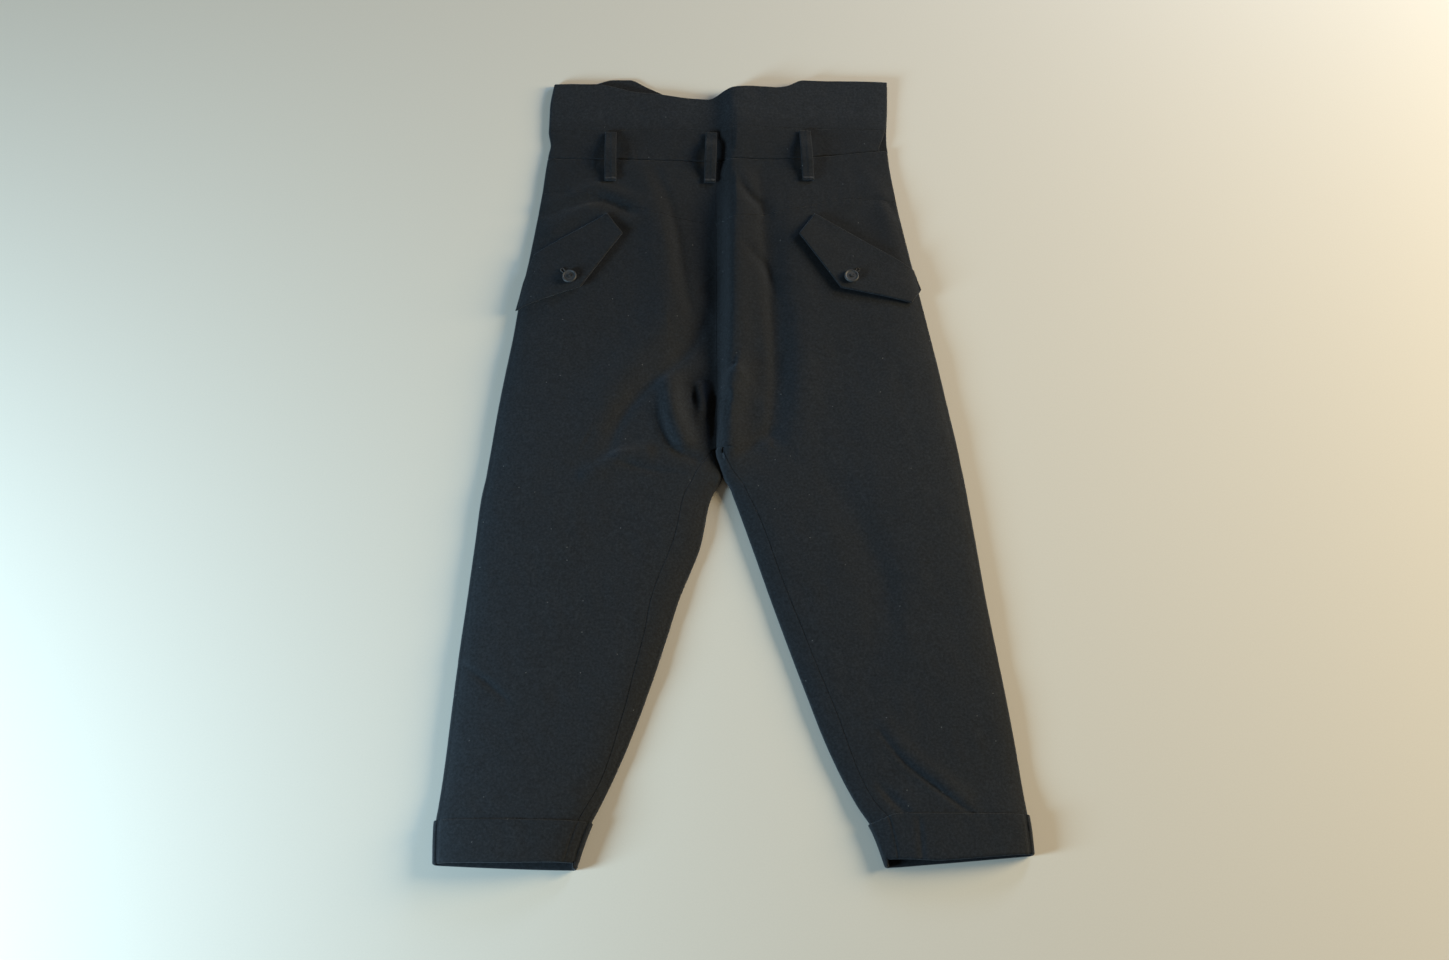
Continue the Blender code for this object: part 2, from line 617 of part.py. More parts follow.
def flap_point(flap, along, across):
    """A patch between the flap's four sides: along the sewn edge, and across to the free edge."""
    def path(points, shares, t):
        points = np.array(points, float)
        return np.stack([np.interp(t, shares, points[:, k]) for k in range(2)], axis=-1)

    a, b = along[..., None], across[..., None]
    sewn = path((flap.seam_in, flap.seam_out), (0, 1), along)
    free = path((flap.low_in, flap.low_mid, flap.low_out), (0, FLAP_CORNER, 1), along)
    inner = path((flap.seam_in, flap.low_in), (0, 1), across)
    outer = path((flap.seam_out, flap.side, flap.low_out), (0, 0.5, 1), across)
    corners = ((1 - a) * (1 - b) * np.array(flap.seam_in) + a * (1 - b) * np.array(flap.seam_out)
               + (1 - a) * b * np.array(flap.low_in) + a * b * np.array(flap.low_out))
    flat = (1 - b) * sewn + b * free + (1 - a) * inner + a * outer - corners
    x, y = flat[..., 0], flat[..., 1]
    rest = (CLOTH + FLAP_CLOTH) / 2 + FLAP_REST
    lifted = smooth_step(0.1, 1, across) * (1 - 0.75 * smooth_step(0.5, 1, along))
    z = upper(x, y) + rest + FLAP_PROUD * lifted
    return np.stack([x, y, z], axis=-1)


def make_flaps():
    for flap in FLAPS:
        along = np.linspace(0, 1, FLAP_COLUMNS)
        along[np.argmin(np.abs(along - FLAP_CORNER))] = FLAP_CORNER
        across = np.linspace(0, 1, FLAP_ROWS)
        wall(flap.name, lambda a, b, flap=flap: flap_point(flap, a, b), along, across, FLAP_CLOTH, wool())


def make_buttons():
    """A turned disc with a raised rim and a dished face, bored with four holes."""
    profile = (
        (BUTTON_RADIUS - 1.2, 0), (BUTTON_RADIUS - 0.2, 0.8), (BUTTON_RADIUS, BUTTON_THICK * 0.6),
        (BUTTON_RADIUS - 0.6, BUTTON_THICK), (BUTTON_RADIUS - BUTTON_RIM, BUTTON_THICK - 0.15),
        (BUTTON_RADIUS - BUTTON_RIM - 0.8, BUTTON_THICK - BUTTON_DISH),
    )
    angles = np.arange(BUTTON_SIDES) * 2 * np.pi / BUTTON_SIDES
    for flap, along, across in zip(FLAPS, BUTTON_ALONG, BUTTON_ACROSS):
        at = np.array(along), np.array(across)
        step = NORMAL_STEP
        slope = (flap_point(flap, at[0] + step, at[1]) - flap_point(flap, at[0] - step, at[1]),
                 flap_point(flap, at[0], at[1] + step) - flap_point(flap, at[0], at[1] - step))
        normal = np.cross(*slope)
        normal *= np.sign(normal[2]) / np.linalg.norm(normal)
        side = np.cross((0, 1, 0), normal)
        side /= np.linalg.norm(side)
        up = np.cross(normal, side)
        seat = flap_point(flap, *at) + normal * (FLAP_CLOTH / 2 + SEAM_GAP)

        def place(u, v, w):
            return seat + np.multiply.outer(u, side) + np.multiply.outer(v, up) + np.multiply.outer(w, normal)

        rings = [place(r * np.cos(angles), r * np.sin(angles), np.full(BUTTON_SIDES, h)) for r, h in profile]
        count = len(profile)
        faces = grid_faces(BUTTON_SIDES, count, 0, True)
        last = (count - 1) * BUTTON_SIDES
        faces += [list(range(BUTTON_SIDES))[::-1], list(range(last, last + BUTTON_SIDES))]
        button = add_object(flap.name.replace("flap", "button"), np.concatenate(rings), faces, plastic(), 30)
        bores, bore_faces = [], []
        turns = np.arange(8) * np.pi / 4 + np.pi / 8
        for k in range(4):
            centre = np.pi / 4 + k * np.pi / 2
            u = BUTTON_HOLE_RING * np.cos(centre) + BUTTON_HOLE * np.cos(turns)
            v = BUTTON_HOLE_RING * np.sin(centre) + BUTTON_HOLE * np.sin(turns)
            first = 16 * k
            bores += [place(u, v, np.full(8, -1.0)), place(u, v, np.full(8, BUTTON_THICK + 1.0))]
            bore_faces += grid_faces(8, 2, first, True)
            bore_faces += [list(range(first, first + 8))[::-1], list(range(first + 8, first + 16))]
        cutter = add_object(f"{button.name}_bores", np.concatenate(bores), bore_faces, plastic())
        cutter.hide_render = True
        cutter.display_type = "WIRE"
        cut = button.modifiers.new("holes", "BOOLEAN")
        cut.operation = "DIFFERENCE"
        cut.solver = "EXACT"
        cut.object = cutter


def main():
    for old in list(bpy.data.objects):
        bpy.data.objects.remove(old)
    for side in (-1, 1):
        make_back_leg(side)
        make_yoke(side)
        make_front_leg(side)
        make_cuff(side)
    make_back_bands()
    make_front_bands()
    make_belt_loops()
    make_flaps()
    make_buttons()


main()
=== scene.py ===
"""Looks of a pair of high-waisted cropped wool breeches that lie flat with their back upwards.

The cloth is worked out in millimetres in the garment's own frame: X points to the wearer's
right, Y to the waist and Z up, and the floor is at Z 0. Every cloth piece is a closed wall of
even thickness about a mid-surface, and its edges are rounded so that seams read as grooves.
"""

import math
from collections import namedtuple
from functools import lru_cache, partial, partialmethod, wraps

import bpy
import numpy as np
from bpy.props import FloatProperty, FloatVectorProperty, PointerProperty
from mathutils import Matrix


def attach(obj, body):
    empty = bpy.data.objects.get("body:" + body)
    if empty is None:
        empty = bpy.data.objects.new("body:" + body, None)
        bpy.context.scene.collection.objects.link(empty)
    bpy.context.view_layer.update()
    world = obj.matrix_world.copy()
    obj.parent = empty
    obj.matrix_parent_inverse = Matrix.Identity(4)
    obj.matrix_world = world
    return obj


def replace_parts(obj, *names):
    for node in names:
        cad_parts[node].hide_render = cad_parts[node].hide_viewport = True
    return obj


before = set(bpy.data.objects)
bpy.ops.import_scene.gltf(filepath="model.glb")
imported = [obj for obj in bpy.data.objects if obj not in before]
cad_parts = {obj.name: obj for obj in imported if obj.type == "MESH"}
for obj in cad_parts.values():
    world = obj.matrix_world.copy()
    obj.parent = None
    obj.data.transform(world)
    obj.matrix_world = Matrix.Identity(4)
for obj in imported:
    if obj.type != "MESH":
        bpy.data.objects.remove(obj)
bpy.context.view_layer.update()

bl_info = {
    "name": "Cropped Wool Breeches",
    "version": (1, 0, 0),
    "blender": (4, 5, 0),
    "location": "View3D > Sidebar > Breeches",
    "description": "Dresses the breeches' solids in wool, with belt loops, pocket flaps and buttons",
    "category": "Add Mesh",
}

MM = 0.001

# Cloth thicknesses and clearances, in millimetres
CLOTH = 1.5
BAND_CLOTH = 2.2
FLAP_CLOTH = 2.4
LOOP_CLOTH = 2.4
SEAM_GAP = 0.06
WAIST_GAP = 0.45
UPPER_LAYER = 4.0
LEAST_LAYER = 2.45
SOFT_FLOOR = 0.25
WRAP = 12.0
TURN_UP_RISE = CLOTH + 0.35

# Step in columns and rows between the two points that give a surface's slope
NORMAL_STEP = 0.003

# The middle of the garment's box, which is placed at the world's origin
CENTRE_X = 7.7
CENTRE_Y = 47.4

# Levels along the length, as the row number that each seam or edge has
ROW_CUFF_EDGE = -380.0
ROW_LEG_END = -354.0
ROW_CUFF_TOP = -340.0
ROW_HEM_LIFTED = -334.0
ROW_HEM_FLAT = -300.0
ROW_EVEN_LOW = -250.0
ROW_CROTCH = 26.0
ROW_PARTED = 29.5
ROW_EVEN_HIGH = 100.0
ROW_YOKE = 300.0
ROW_WAIST = 377.0
ROW_BAND = 411.0
ROW_TOP = 473.0

# Outline of the garment: height y, then x of the outer and inner edge of each leg.
# Above the crotch both inner edges are the centre seam.
Outline = namedtuple("Outline", "y left_outer left_inner right_inner right_outer")
OUTLINE = [Outline(*row) for row in (
    (-385, -258.6, -134.5, 146.5, 276.0), (-345, -260.3, -121.5, 132.5, 274.8),
    (-325, -258.5, -112.0, 120.0, 272.6), (-277, -255.0, -91.5, 97.0, 268.0),
    (-215, -251.4, -69.5, 74.2, 260.7), (-166, -248.2, -54.6, 57.2, 254.2),
    (-125, -245.0, -42.6, 43.4, 248.8), (-74, -241.3, -23.7, 26.8, 243.4),
    (-20, -237.4, -12.2, 8.6, 237.4), (-9, -235.7, -6.3, 4.4, 236.2), (0, -234.3, -2.3, -1.3, 235.1),
    (12, -233.1, -5.2, -4.8, 233.4), (26, -231.6, -8.2, -7.8, 231.6), (82, -225.6, -7.2, -7.2, 222.6),
    (157, -215.6, -7.7, -7.7, 210.1), (193, -211.8, -7.9, -7.9, 203.6), (249, -203.6, -8.2, -8.2, 193.6),
    (307, -196.2, -8.6, -8.6, 183.6), (334, -193.2, -8.8, -8.8, 180.0), (364, -190.7, -8.9, -8.9, 176.4),
    (379, -189.0, -9.0, -9.0, 175.4), (392, -187.2, -9.0, -9.0, 174.6), (411, -190.0, -9.0, -9.0, 175.0),
    (440, -190.0, -9.0, -9.0, 177.0), (475, -186.2, -9.0, -9.0, 178.4),
)]

# Free edge of the back bands at the side opening, on the wearer's right, and about where it is
BAND_OPENING_X = 172
Opening = namedtuple("Opening", "y x")
BAND_OPENING = [Opening(*row) for row in (
    (372, 168.0), (386, 166.0), (399, 170.0), (411, 173.2), (440, 176.2), (480, 178.0),
)]

# The inseam lies on the back of each leg, this far in from the inner edge
Inseam = namedtuple("Inseam", "y left right")
INSEAM = [Inseam(*row) for row in (
    (-385, 8.5, 8.0), (-334, 8.5, 14.5), (-306, 7.2, 14.5), (-246, 12.4, 18.3), (-173, 18.0, 16.8),
    (-89, 25.0, 14.8), (-45, 23.0, 14.6), (-9, 24.0, 10.5), (0, 23.0, 9.0), (10, 15.5, 4.5),
    (19, 7.5, 1.6), (26, 0.8, 0.8),
)]

# Seams and edges across the garment, as points x, y
CUFF_EDGE_LINE = ((-261, -378.2), (-200, -381.0), (-132, -382.7), (143, -380.5), (190, -377.0),
                  (277, -369.6))
LEG_END_LINE = ((-262, -354), (-120, -357), (135, -355), (277, -347))
CUFF_TOP_LINE = ((-262, -339.3), (-119, -341.0), (130, -341.5), (157, -333.5), (277, -334.0))
YOKE_LINE = ((-194, 330), (-146, 328), (-96, 309), (-9, 293), (72, 306), (132, 321), (180, 319))
WAIST_LINE = ((-190, 374.5), (-134, 372), (-9, 370.5), (73, 372), (138, 380), (168, 384))
BAND_LINE = ((-190, 410), (-9, 411), (174, 411))
BACK_TOP_LINE = (
    (-190, 472), (-143, 472), (-96, 461), (-74, 459), (-45, 454), (-18, 452), (0, 461),
    (25, 465), (66, 466), (86, 475), (135, 475), (178, 474),
)
FRONT_TOP_LINE = (
    (-190, 470), (-145, 473), (-122, 480), (-104, 480), (-85, 470), (-45, 451), (-18, 449),
    (20, 458), (70, 462), (92, 472), (178, 471),
)
# How far the back of each turn-up is raised above its front along the lower edge
CUFF_LIFT_LINE = ((-261, 0.5), (-200, 2.0), (-140, 5.0), (143, 6.5), (165, 5.0), (190, 1.5), (215, 0.8),
                  (277, 0.5))

# Soft folds of the upper layer: widths on the left and right of someone who walks along
# the path, and the path itself as x, y and height of the crest
Fold = namedtuple("Fold", "name left right path")
FOLDS = (
    Fold("centre_ridge", 18, 9, ((11, 465, 2), (10, 384, 2.5), (10, 325, 5), (10, 302, 6.5), (10, 223, 8),
                                  (9, 158, 8), (6, 95, 6))),
    Fold("ridge_slope", 46, 12, ((10, 372, 2), (10, 330, 4.5), (10, 302, 6), (10, 223, 7), (9, 158, 5),
                                 (6, 95, 2))),
    Fold("band_slope", 72, 12, ((9, 480, 6.0), (10, 410, 5.5), (10, 360, 2))),
    Fold("right_bank", 18, 12, ((66, 302, 0.8), (74, 199, 1.5), (78, 107, 1.8), (72, 40, 1.2))),
    Fold("right_swell", 34, 26, ((86, 357, 1), (87, 252, 2.4), (89, 157, 2.2), (80, 80, 1))),
    Fold("left_ridge", 14, 22, ((-90, 358, 2), (-77, 314, 3.4), (-63, 259, 3.6), (-58, 187, 2))),
    Fold("bow", 16, 26, ((-35, 199, 2.4), (-76, 146, 4), (-107, 101, 4), (-128, 56, 2.4))),
    Fold("crotch_roll_left", 11, 12, ((-54, 100, 4), (-51, 68, 7.5), (-42, 38, 5.5))),
    Fold("crotch_curl", 5, 6, ((-26, 100, 3.5), (-22, 80, 4.5), (-24, 62, 1.5))),
    Fold("crotch_roll_right", 17, 9, ((9, 107, 7), (2, 62, 11), (2, 29, 9), (0, 3, 3))),
    Fold("below_left", 8, 9, ((-134, -1, 2.5), (-103, 17, 5.5), (-78, 22, 4))),
    Fold("hip_left", 10, 8, ((-191, 313, 1.5), (-163, 320, 2.6), (-132, 333, 3.2), (-96, 314, 2))),
    Fold("hip_band", 10, 9, ((-181, 283, 2), (-142, 305, 3), (-101, 291, 1.5))),
    Fold("left_thigh", 48, 48, ((-139, 204, 1), (-160, 88, 1.6), (-165, -43, 1.6), (-178, -166, 1.4))),
    Fold("right_thigh", 46, 46, ((150, 180, 1), (156, 66, 1.6), (158, -43, 1.6), (176, -166, 1.4))),
    Fold("left_shin", 40, 40, ((-184, -176, 0.6), (-187, -300, 1))),
    Fold("right_shin", 40, 40, ((186, -176, 0.6), (200, -300, 1))),
    Fold("right_hip", 10, 12, ((160, 345, 1), (172, 300, 2.2), (180, 268, 1))),
)
FOLD_SAMPLES = 5
FOLD_REACH = 3.2

# Finer creases that lie over the soft folds, told in the same way; a height under 0 is a hollow
CREASES = (
    Fold("right_trough", 13, 8, ((38, 352, -1.1), (43, 271, -3.2), (49, 187, -3.8), (52, 107, -3.8),
                                 (47, 45, -2.6))),
    Fold("diagonal_trough", 7, 9, ((-19, 175, -1.4), (-45, 130, -3.2), (-88, 84, -3.4), (-106, 54, -2.6),
                                   (-117, 16, -1))),
    Fold("crotch_fan_hollow", 6, 7, ((8, 16, -1.2), (25, 31, -2.4), (43, 46, -1.8))),
    Fold("crotch_hollow", 5, 5, ((-13, 86, -3), (-12, 70, -4), (-11, 48, -2))),
    Fold("curl_hollow", 4, 4, ((-29, 104, -1.0), (-32, 88, -1.8), (-31, 76, -0.6))),
    Fold("roll_hollow", 6, 5, ((-66, 90, -0.8), (-62, 55, -2), (-48, 27, -3), (-28, 17, -2.2))),
    Fold("small_fan_upper", 5, 6, ((6, 127, 0.3), (14, 111, 0.9), (28, 93, 0.3))),
    Fold("small_fan_lower", 5, 6, ((10, 75, 0.3), (24, 85, 0.9), (38, 93, 0.3))),
    Fold("hip_left_hollow", 7, 5, ((-189, 304, -1.2), (-158, 314, -1.8), (-132, 320, -1.9),
                                   (-97, 303, -1.2))),
    Fold("left_ridge_hollow", 5, 8, ((-72, 356, -0.6), (-53, 299, -1.2), (-44, 241, -1.2), (-35, 187, -1.0))),
    Fold("waist_crease", 5, 6, ((11, 358, -0.8), (24, 327, -1.5), (45, 299, -1.0))),
    Fold("waist_crease_upper", 4, 5, ((19, 335, -0.5), (29, 320, -0.9), (42, 313, -0.5))),
    Fold("ridge_crease", 5, 6, ((21, 262, -0.7), (41, 237, -1.5), (53, 206, -1.0))),
    Fold("below_left_crease", 4, 3, ((-111, 15, -0.8), (-73, 4, -1.5), (-42, 1, -0.8))),
    Fold("thigh_hollow", 16, 20, ((116, -14, -1.4), (136, -72, -2.6), (152, -118, -2.6), (148, -183, -1))),
    Fold("left_shin_crease", 2.5, 4, ((-246, -191, -0.6), (-217, -214, -1.6), (-201, -229, -0.6))),
    Fold("right_shin_crease", 3.5, 2.5, ((143, -259, -0.6), (163, -285, -1.4), (186, -305, -1.7),
                                         (208, -323, -1.5), (223, -334, -0.8))),
    Fold("right_shin_roll", 8, 11, ((150, -253, 0.7), (170, -279, 1.5), (192, -298, 1.8), (215, -318, 1.2))),
    Fold("hem_crease", 5, 4, ((141, -309, -0.8), (151, -320, -1.8), (162, -331, -1.2))),
    Fold("turn_up_crease", 2.5, 3.5, ((175, -340, -0.9), (177, -380, -1.1))),
    Fold("hip_right_crease", 4, 6, ((152, 320, -0.8), (169, 319, -1.5), (180, 302, -0.8))),
)

# How far the cloth rises inwards from the folded outer edge of each leg, at a few heights y
CROWN_LEFT = ((-385, 9.5), (-250, 9.0), (0, 7.0), (330, 3.5), (400, 1.0), (480, 0.6))
CROWN_RIGHT = ((-385, 2.5), (0, 4.0), (330, 3.0), (400, 1.5), (480, 1.0))
CROWN_RUN = 20.0
CROWN_INNER_RUN = 16.0
CROWN_CENTRE_RUN = 60.0

# The roll of the outer folds: its extra height at some heights y, and how quickly it is reached
ROLL_HEIGHT = ((-385, 3.0), (250, 2.8), (350, 0.8), (480, 0.3))
ROLL_RUN = 6.0

# Low waves of the whole cloth: how many, their shortest and longest length, and their height
Waves = namedtuple("Waves", "count shortest longest height")
WAVES = (Waves(14, 55, 170, 0.10), Waves(26, 14, 42, 0.022))
WAVE_SEED = 11

# The pucker along the seams: waves that die away at some distance and whose phase sways, by so
# much, over such a length and with this shift from one seam to the next
PUCKER_HEIGHT = 0.16
PUCKER_LENGTH = 11.0
PUCKER_REACH = 7.0
PUCKER_SWAY = ((2.1, 19.0, 1), (1.3, 7.3, 0))

# Grid that the upper layer's heights are kept on
FIELD_X = (-280, 296)
FIELD_Y = (-400, 492)
FIELD_STEP = 1.0

# Belt loops: where each stands and how far it arches over the band
Loop = namedtuple("Loop", "name x_top x_foot arch")
LOOPS = (
    Loop("belt_loop_left", -122.5, -121.0, 3.6),
    Loop("belt_loop_centre", -14.0, -15.5, 5.0),
    Loop("belt_loop_right", 86.5, 89.0, 3.6),
)
LOOP_WIDTH = 12.5
LOOP_TOP = 406.5
LOOP_FOOT = 342.5
LOOP_REST = 0.5
LOOP_TAB = 0.13
LOOP_CREST = (0.42, 0.6)
LOOP_EDGE = 1.1
LOOP_STEPS = (0.9, 1.3)

# The soft ridge of the turned-in cloth: its height, place and width over a loop's half width,
# and how far the loop's sides drop
LOOP_RIDGE = 0.35
LOOP_RIDGE_AT = 0.25
LOOP_RIDGE_WIDTH = 0.2
LOOP_DROP = 0.25

# The bar of stitches at a loop's foot: how often the thread crosses, its radius, how far it
# reaches to each side, and the middle and half of its height along the loop
TACK_TURNS = 13
TACK_RADIUS = 0.34
TACK_REACH = 0.86
TACK_ALONG = 0.045
TACK_HALF = 0.014
TACK_CLEARANCE = 0.05

# Pocket flaps: corners of the sewn edge, the outer end and the free lower edge
Flap = namedtuple("Flap", "name seam_in seam_out side low_out low_mid low_in")
FLAPS = (
    Flap("flap_left", (-123.0, 300.0), (-198.0, 251.5), (-208.0, 218.5), (-214.5, 186.5), (-147.5, 209.0),
         (-106.0, 275.0)),
    Flap("flap_right", (94.5, 299.5), (196.5, 234.0), (203.0, 211.5), (192.0, 193.5), (119.5, 208.5),
         (77.5, 272.5)),
)
FLAP_REST = 0.7
FLAP_PROUD = 2.0
FLAP_CORNER = 0.36
FLAP_EDGE = 1.2
FLAP_SIZE = (95, 42)
FLAP_STEPS = (1.4, 1.3)

# How far across the flap starts to rise, and the share of its rise that is lost at its outer end
FLAP_BEND = 0.1
FLAP_OUTER_LOSS = 0.75

# Buttons: one through each flap, as part of the way along and across it
BUTTON_ALONG = (0.47, 0.42)
BUTTON_ACROSS = (0.79, 0.78)
BUTTON_RADIUS = 7.4
BUTTON_HOLE = 0.85
BUTTON_HOLE_RING = 1.75
BUTTON_SIDES = 72
HOLE_SIDES = 20
HOLE_ENDS = (-1.0, 4.0)
BUTTON_CLEARANCE = 0.15

# The two strands that cross on a button: half their width, their radius, their height over the
# face, and how much higher the second one lies
STRAND_REACH = 1.449
STRAND_RADIUS = 0.42
STRAND_RISE = 0.55
STRAND_OVER = 0.18

# Section of a button: how far in from its edge each ring of points lies, and at what height
BUTTON_SECTION = (
    (1.6, 0), (1.2, 0), (0.5, 0.35), (0.1, 1.0), (0, 1.8), (0.15, 2.55), (0.5, 2.97), (0.85, 3.0),
    (1.2, 2.94), (1.5, 2.75), (1.8, 2.45), (2.3, 2.25), (3.1, 2.35), (4.5, 2.3), (6.4, 2.25), (7.0, 2.25),
)
BUTTON_FACE = 2.3

# Cut of each piece before it was sewn: width and length of the rectangle it fits in, and its area
Cut = namedtuple("Cut", "width length area rests_on")


def curve(xs, ys, x):
    """Smooth curve through the points xs, ys, whose slope at each is that of its neighbours."""
    xs, ys, x = np.asarray(xs, float), np.asarray(ys, float), np.asarray(x, float)
    slopes = np.diff(ys) / np.diff(xs)
    tangents = np.concatenate(([slopes[0]], (slopes[1:] + slopes[:-1]) / 2, [slopes[-1]]))
    tangents[1:-1] = np.where(slopes[1:] * slopes[:-1] > 0, tangents[1:-1], 0)
    i = np.clip(np.searchsorted(xs, x) - 1, 0, len(xs) - 2)
    step = xs[i + 1] - xs[i]
    t = np.clip((x - xs[i]) / step, 0, 1)
    ease = t * t * (3 - 2 * t)
    start, end = t * (1 - t) ** 2, t * t * (t - 1)
    return ys[i] + (ys[i + 1] - ys[i]) * ease + step * (tangents[i] * start + tangents[i + 1] * end)


def line(points, x):
    """The height of a seam or an edge at x."""
    xs, ys = zip(*points)
    return curve(xs, ys, x)


def at_height(table, column, y):
    """One column of a table, read at height y."""
    return curve([row.y for row in table], [getattr(row, column) for row in table], y)


def edge(column, y):
    """The x of one edge of the outline at height y."""
    return at_height(OUTLINE, column, y)


def smooth_step(low, high, x):
    """Rises softly from 0 at low to 1 at high."""
    t = np.clip((x - low) / (high - low), 0, 1)
    return t * t * (3 - 2 * t)


def fold_path(fold):
    """The crest of a fold as a smooth run of points x, y and height."""
    knots = np.array(fold.path, float)
    fine = np.linspace(0, len(knots) - 1, (len(knots) - 1) * FOLD_SAMPLES + 1)
    return np.stack([curve(np.arange(len(knots)), knots[:, k], fine) for k in range(3)], axis=1)


def fold_height(fold, path, x, y):
    """One fold: its crest's height times exp(-(distance / width) squared), with a width for each side."""
    shape, x, y = np.shape(x), np.reshape(x, (-1, 1)), np.reshape(y, (-1, 1))
    (x0, y0, h0), (x1, y1, h1) = path[:-1].T, path[1:].T
    dx, dy = x1 - x0, y1 - y0
    t = np.clip(((x - x0) * dx + (y - y0) * dy) / (dx * dx + dy * dy), 0, 1)
    off_x, off_y = x - x0 - t * dx, y - y0 - t * dy
    width = np.where(dx * off_y - dy * off_x > 0, fold.left, fold.right)
    distance = (off_x**2 + off_y**2) / width**2
    nearest = np.argmin(distance, axis=1)[:, None]
    crest = np.take_along_axis(h0 + t * (h1 - h0), nearest, 1)
    return (crest * np.exp(-np.take_along_axis(distance, nearest, 1))).reshape(shape)


def hem_lift(y):
    """How far the leg is raised near the hem by the turn-up that lies under it."""
    return TURN_UP_RISE * (1 - smooth_step(ROW_HEM_LIFTED, ROW_HEM_FLAT, y))


def crown(x, y):
    """Rise from the edges: 0 at an edge, and towards its full height as 1 - exp(-distance / run).

    The outer folds have a second, shorter rise of the same form.
    """
    total = np.zeros(np.shape(x))
    legs = smooth_step(ROW_EVEN_HIGH, ROW_CROTCH, y)
    for name, side, heights in (("left", -1, CROWN_LEFT), ("right", 1, CROWN_RIGHT)):
        outer = np.maximum(side * (edge(f"{name}_outer", y) - x), 0)
        inner = np.maximum(side * (x - edge(f"{name}_inner", y)), 0)
        at_centre = smooth_step(0, CROWN_CENTRE_RUN, inner)
        at_leg = 1 - np.exp(-inner / CROWN_INNER_RUN)
        share = at_centre + (at_leg - at_centre) * legs
        for rise, run in ((heights, CROWN_RUN), (ROLL_HEIGHT, ROLL_RUN)):
            total += line(rise, y) * (1 - np.exp(-outer / run)) * share
    return total


def waves(x, y):
    """Sum of plane sine waves whose directions, lengths and phases come from a fixed seed."""
    draw = np.random.default_rng(WAVE_SEED)
    total = np.zeros(np.shape(x))
    for group in WAVES:
        for _ in range(group.count):
            turn, phase = draw.uniform(0, 2 * np.pi, 2)
            length = draw.uniform(group.shortest, group.longest)
            total += group.height * np.sin(2 * np.pi * (x * np.cos(turn) + y * np.sin(turn)) / length + phase)
    return total


def pucker(x, y):
    """Small waves along two seams: a sine along the seam times exp(-(distance / reach) squared)."""
    total = np.zeros(np.shape(x))
    for k, points in enumerate((YOKE_LINE, WAIST_LINE)):
        away = y - line(points, x)
        phase = 2 * np.pi * x / PUCKER_LENGTH
        phase = phase + sum(sway * np.sin(x / length + k * shift) for sway, length, shift in PUCKER_SWAY)
        total += PUCKER_HEIGHT * np.sin(phase) * np.exp(-((away / PUCKER_REACH) ** 2))
    return total


@lru_cache(maxsize=2)
def height_grid(crease_depth):
    """Heights of the upper layer's middle on a grid: its rest height, the hem's lift and all folds.

    A soft floor keeps the layer above the one under it: where h is the height over that floor,
    it becomes (h + sqrt(h * h + SOFT_FLOOR)) / 2.
    """
    x = np.arange(FIELD_X[0], FIELD_X[1] + FIELD_STEP, FIELD_STEP)
    y = np.arange(FIELD_Y[0], FIELD_Y[1] + FIELD_STEP, FIELD_STEP)
    x, y = np.meshgrid(x, y)
    lift = hem_lift(y)
    total = UPPER_LAYER + lift + crown(x, y) + (waves(x, y) + pucker(x, y)) * crease_depth
    for folds, share in ((FOLDS, 1.0), (CREASES, crease_depth)):
        for fold in folds:
            path = fold_path(fold)
            reach = FOLD_REACH * max(fold.left, fold.right)
            near = path[:, :2] - (FIELD_X[0], FIELD_Y[0])
            low = np.floor((near.min(0) - reach) / FIELD_STEP).astype(int)
            high = np.ceil((near.max(0) + reach) / FIELD_STEP).astype(int)
            window = tuple(slice(max(low[k], 0), max(high[k], 0)) for k in (1, 0))
            total[window] += share * fold_height(fold, path, x[window], y[window])
    over = total - LEAST_LAYER - lift
    return LEAST_LAYER + lift + (over + np.sqrt(over * over + SOFT_FLOOR)) / 2


def upper(x, y):
    """Height of the upper layer's middle, read from the grid by a cubic blend of sixteen points."""
    grid = height_grid(bpy.context.scene.breeches_cloth.crease_depth)
    u = np.clip((x - FIELD_X[0]) / FIELD_STEP, 1, grid.shape[1] - 2.001)
    v = np.clip((y - FIELD_Y[0]) / FIELD_STEP, 1, grid.shape[0] - 2.001)
    i, j = np.floor(u).astype(int), np.floor(v).astype(int)
    across, along = ((((2 - t) * t - 1) * t / 2, ((3 * t - 5) * t * t + 2) / 2,
                      ((4 - 3 * t) * t + 1) * t / 2, (t - 1) * t * t / 2) for t in (u - i, v - j))
    return sum(along[b] * sum(across[a] * grid[j - 1 + b, i - 1 + a] for a in range(4)) for b in range(4))


def level_y(levels, row, x):
    """Height y of a row at x: each level is a seam or an edge, and rows between follow both."""
    rows = np.array([level[0] for level in levels], float)
    lines = np.stack([line(at, x) if isinstance(at, tuple) else at + 0 * x for _, at in levels])
    i = np.clip(np.searchsorted(rows, row) - 1, 0, len(rows) - 2)
    low = np.take_along_axis(lines, i[None], 0)[0]
    high = np.take_along_axis(lines, i[None] + 1, 0)[0]
    return low + (high - low) * (row - rows[i]) / (rows[i + 1] - rows[i])


COMMON_LEVELS = (
    (ROW_CUFF_EDGE, CUFF_EDGE_LINE),
    (ROW_LEG_END, LEG_END_LINE),
    (ROW_CUFF_TOP, CUFF_TOP_LINE),
    (ROW_EVEN_LOW, ROW_EVEN_LOW),
    (ROW_EVEN_HIGH, ROW_EVEN_HIGH),
    (ROW_YOKE, YOKE_LINE),
    (ROW_WAIST, WAIST_LINE),
    (ROW_BAND, BAND_LINE),
)
BACK_LEVELS = COMMON_LEVELS + ((ROW_TOP, BACK_TOP_LINE),)
FRONT_LEVELS = COMMON_LEVELS + ((ROW_TOP, FRONT_TOP_LINE),)


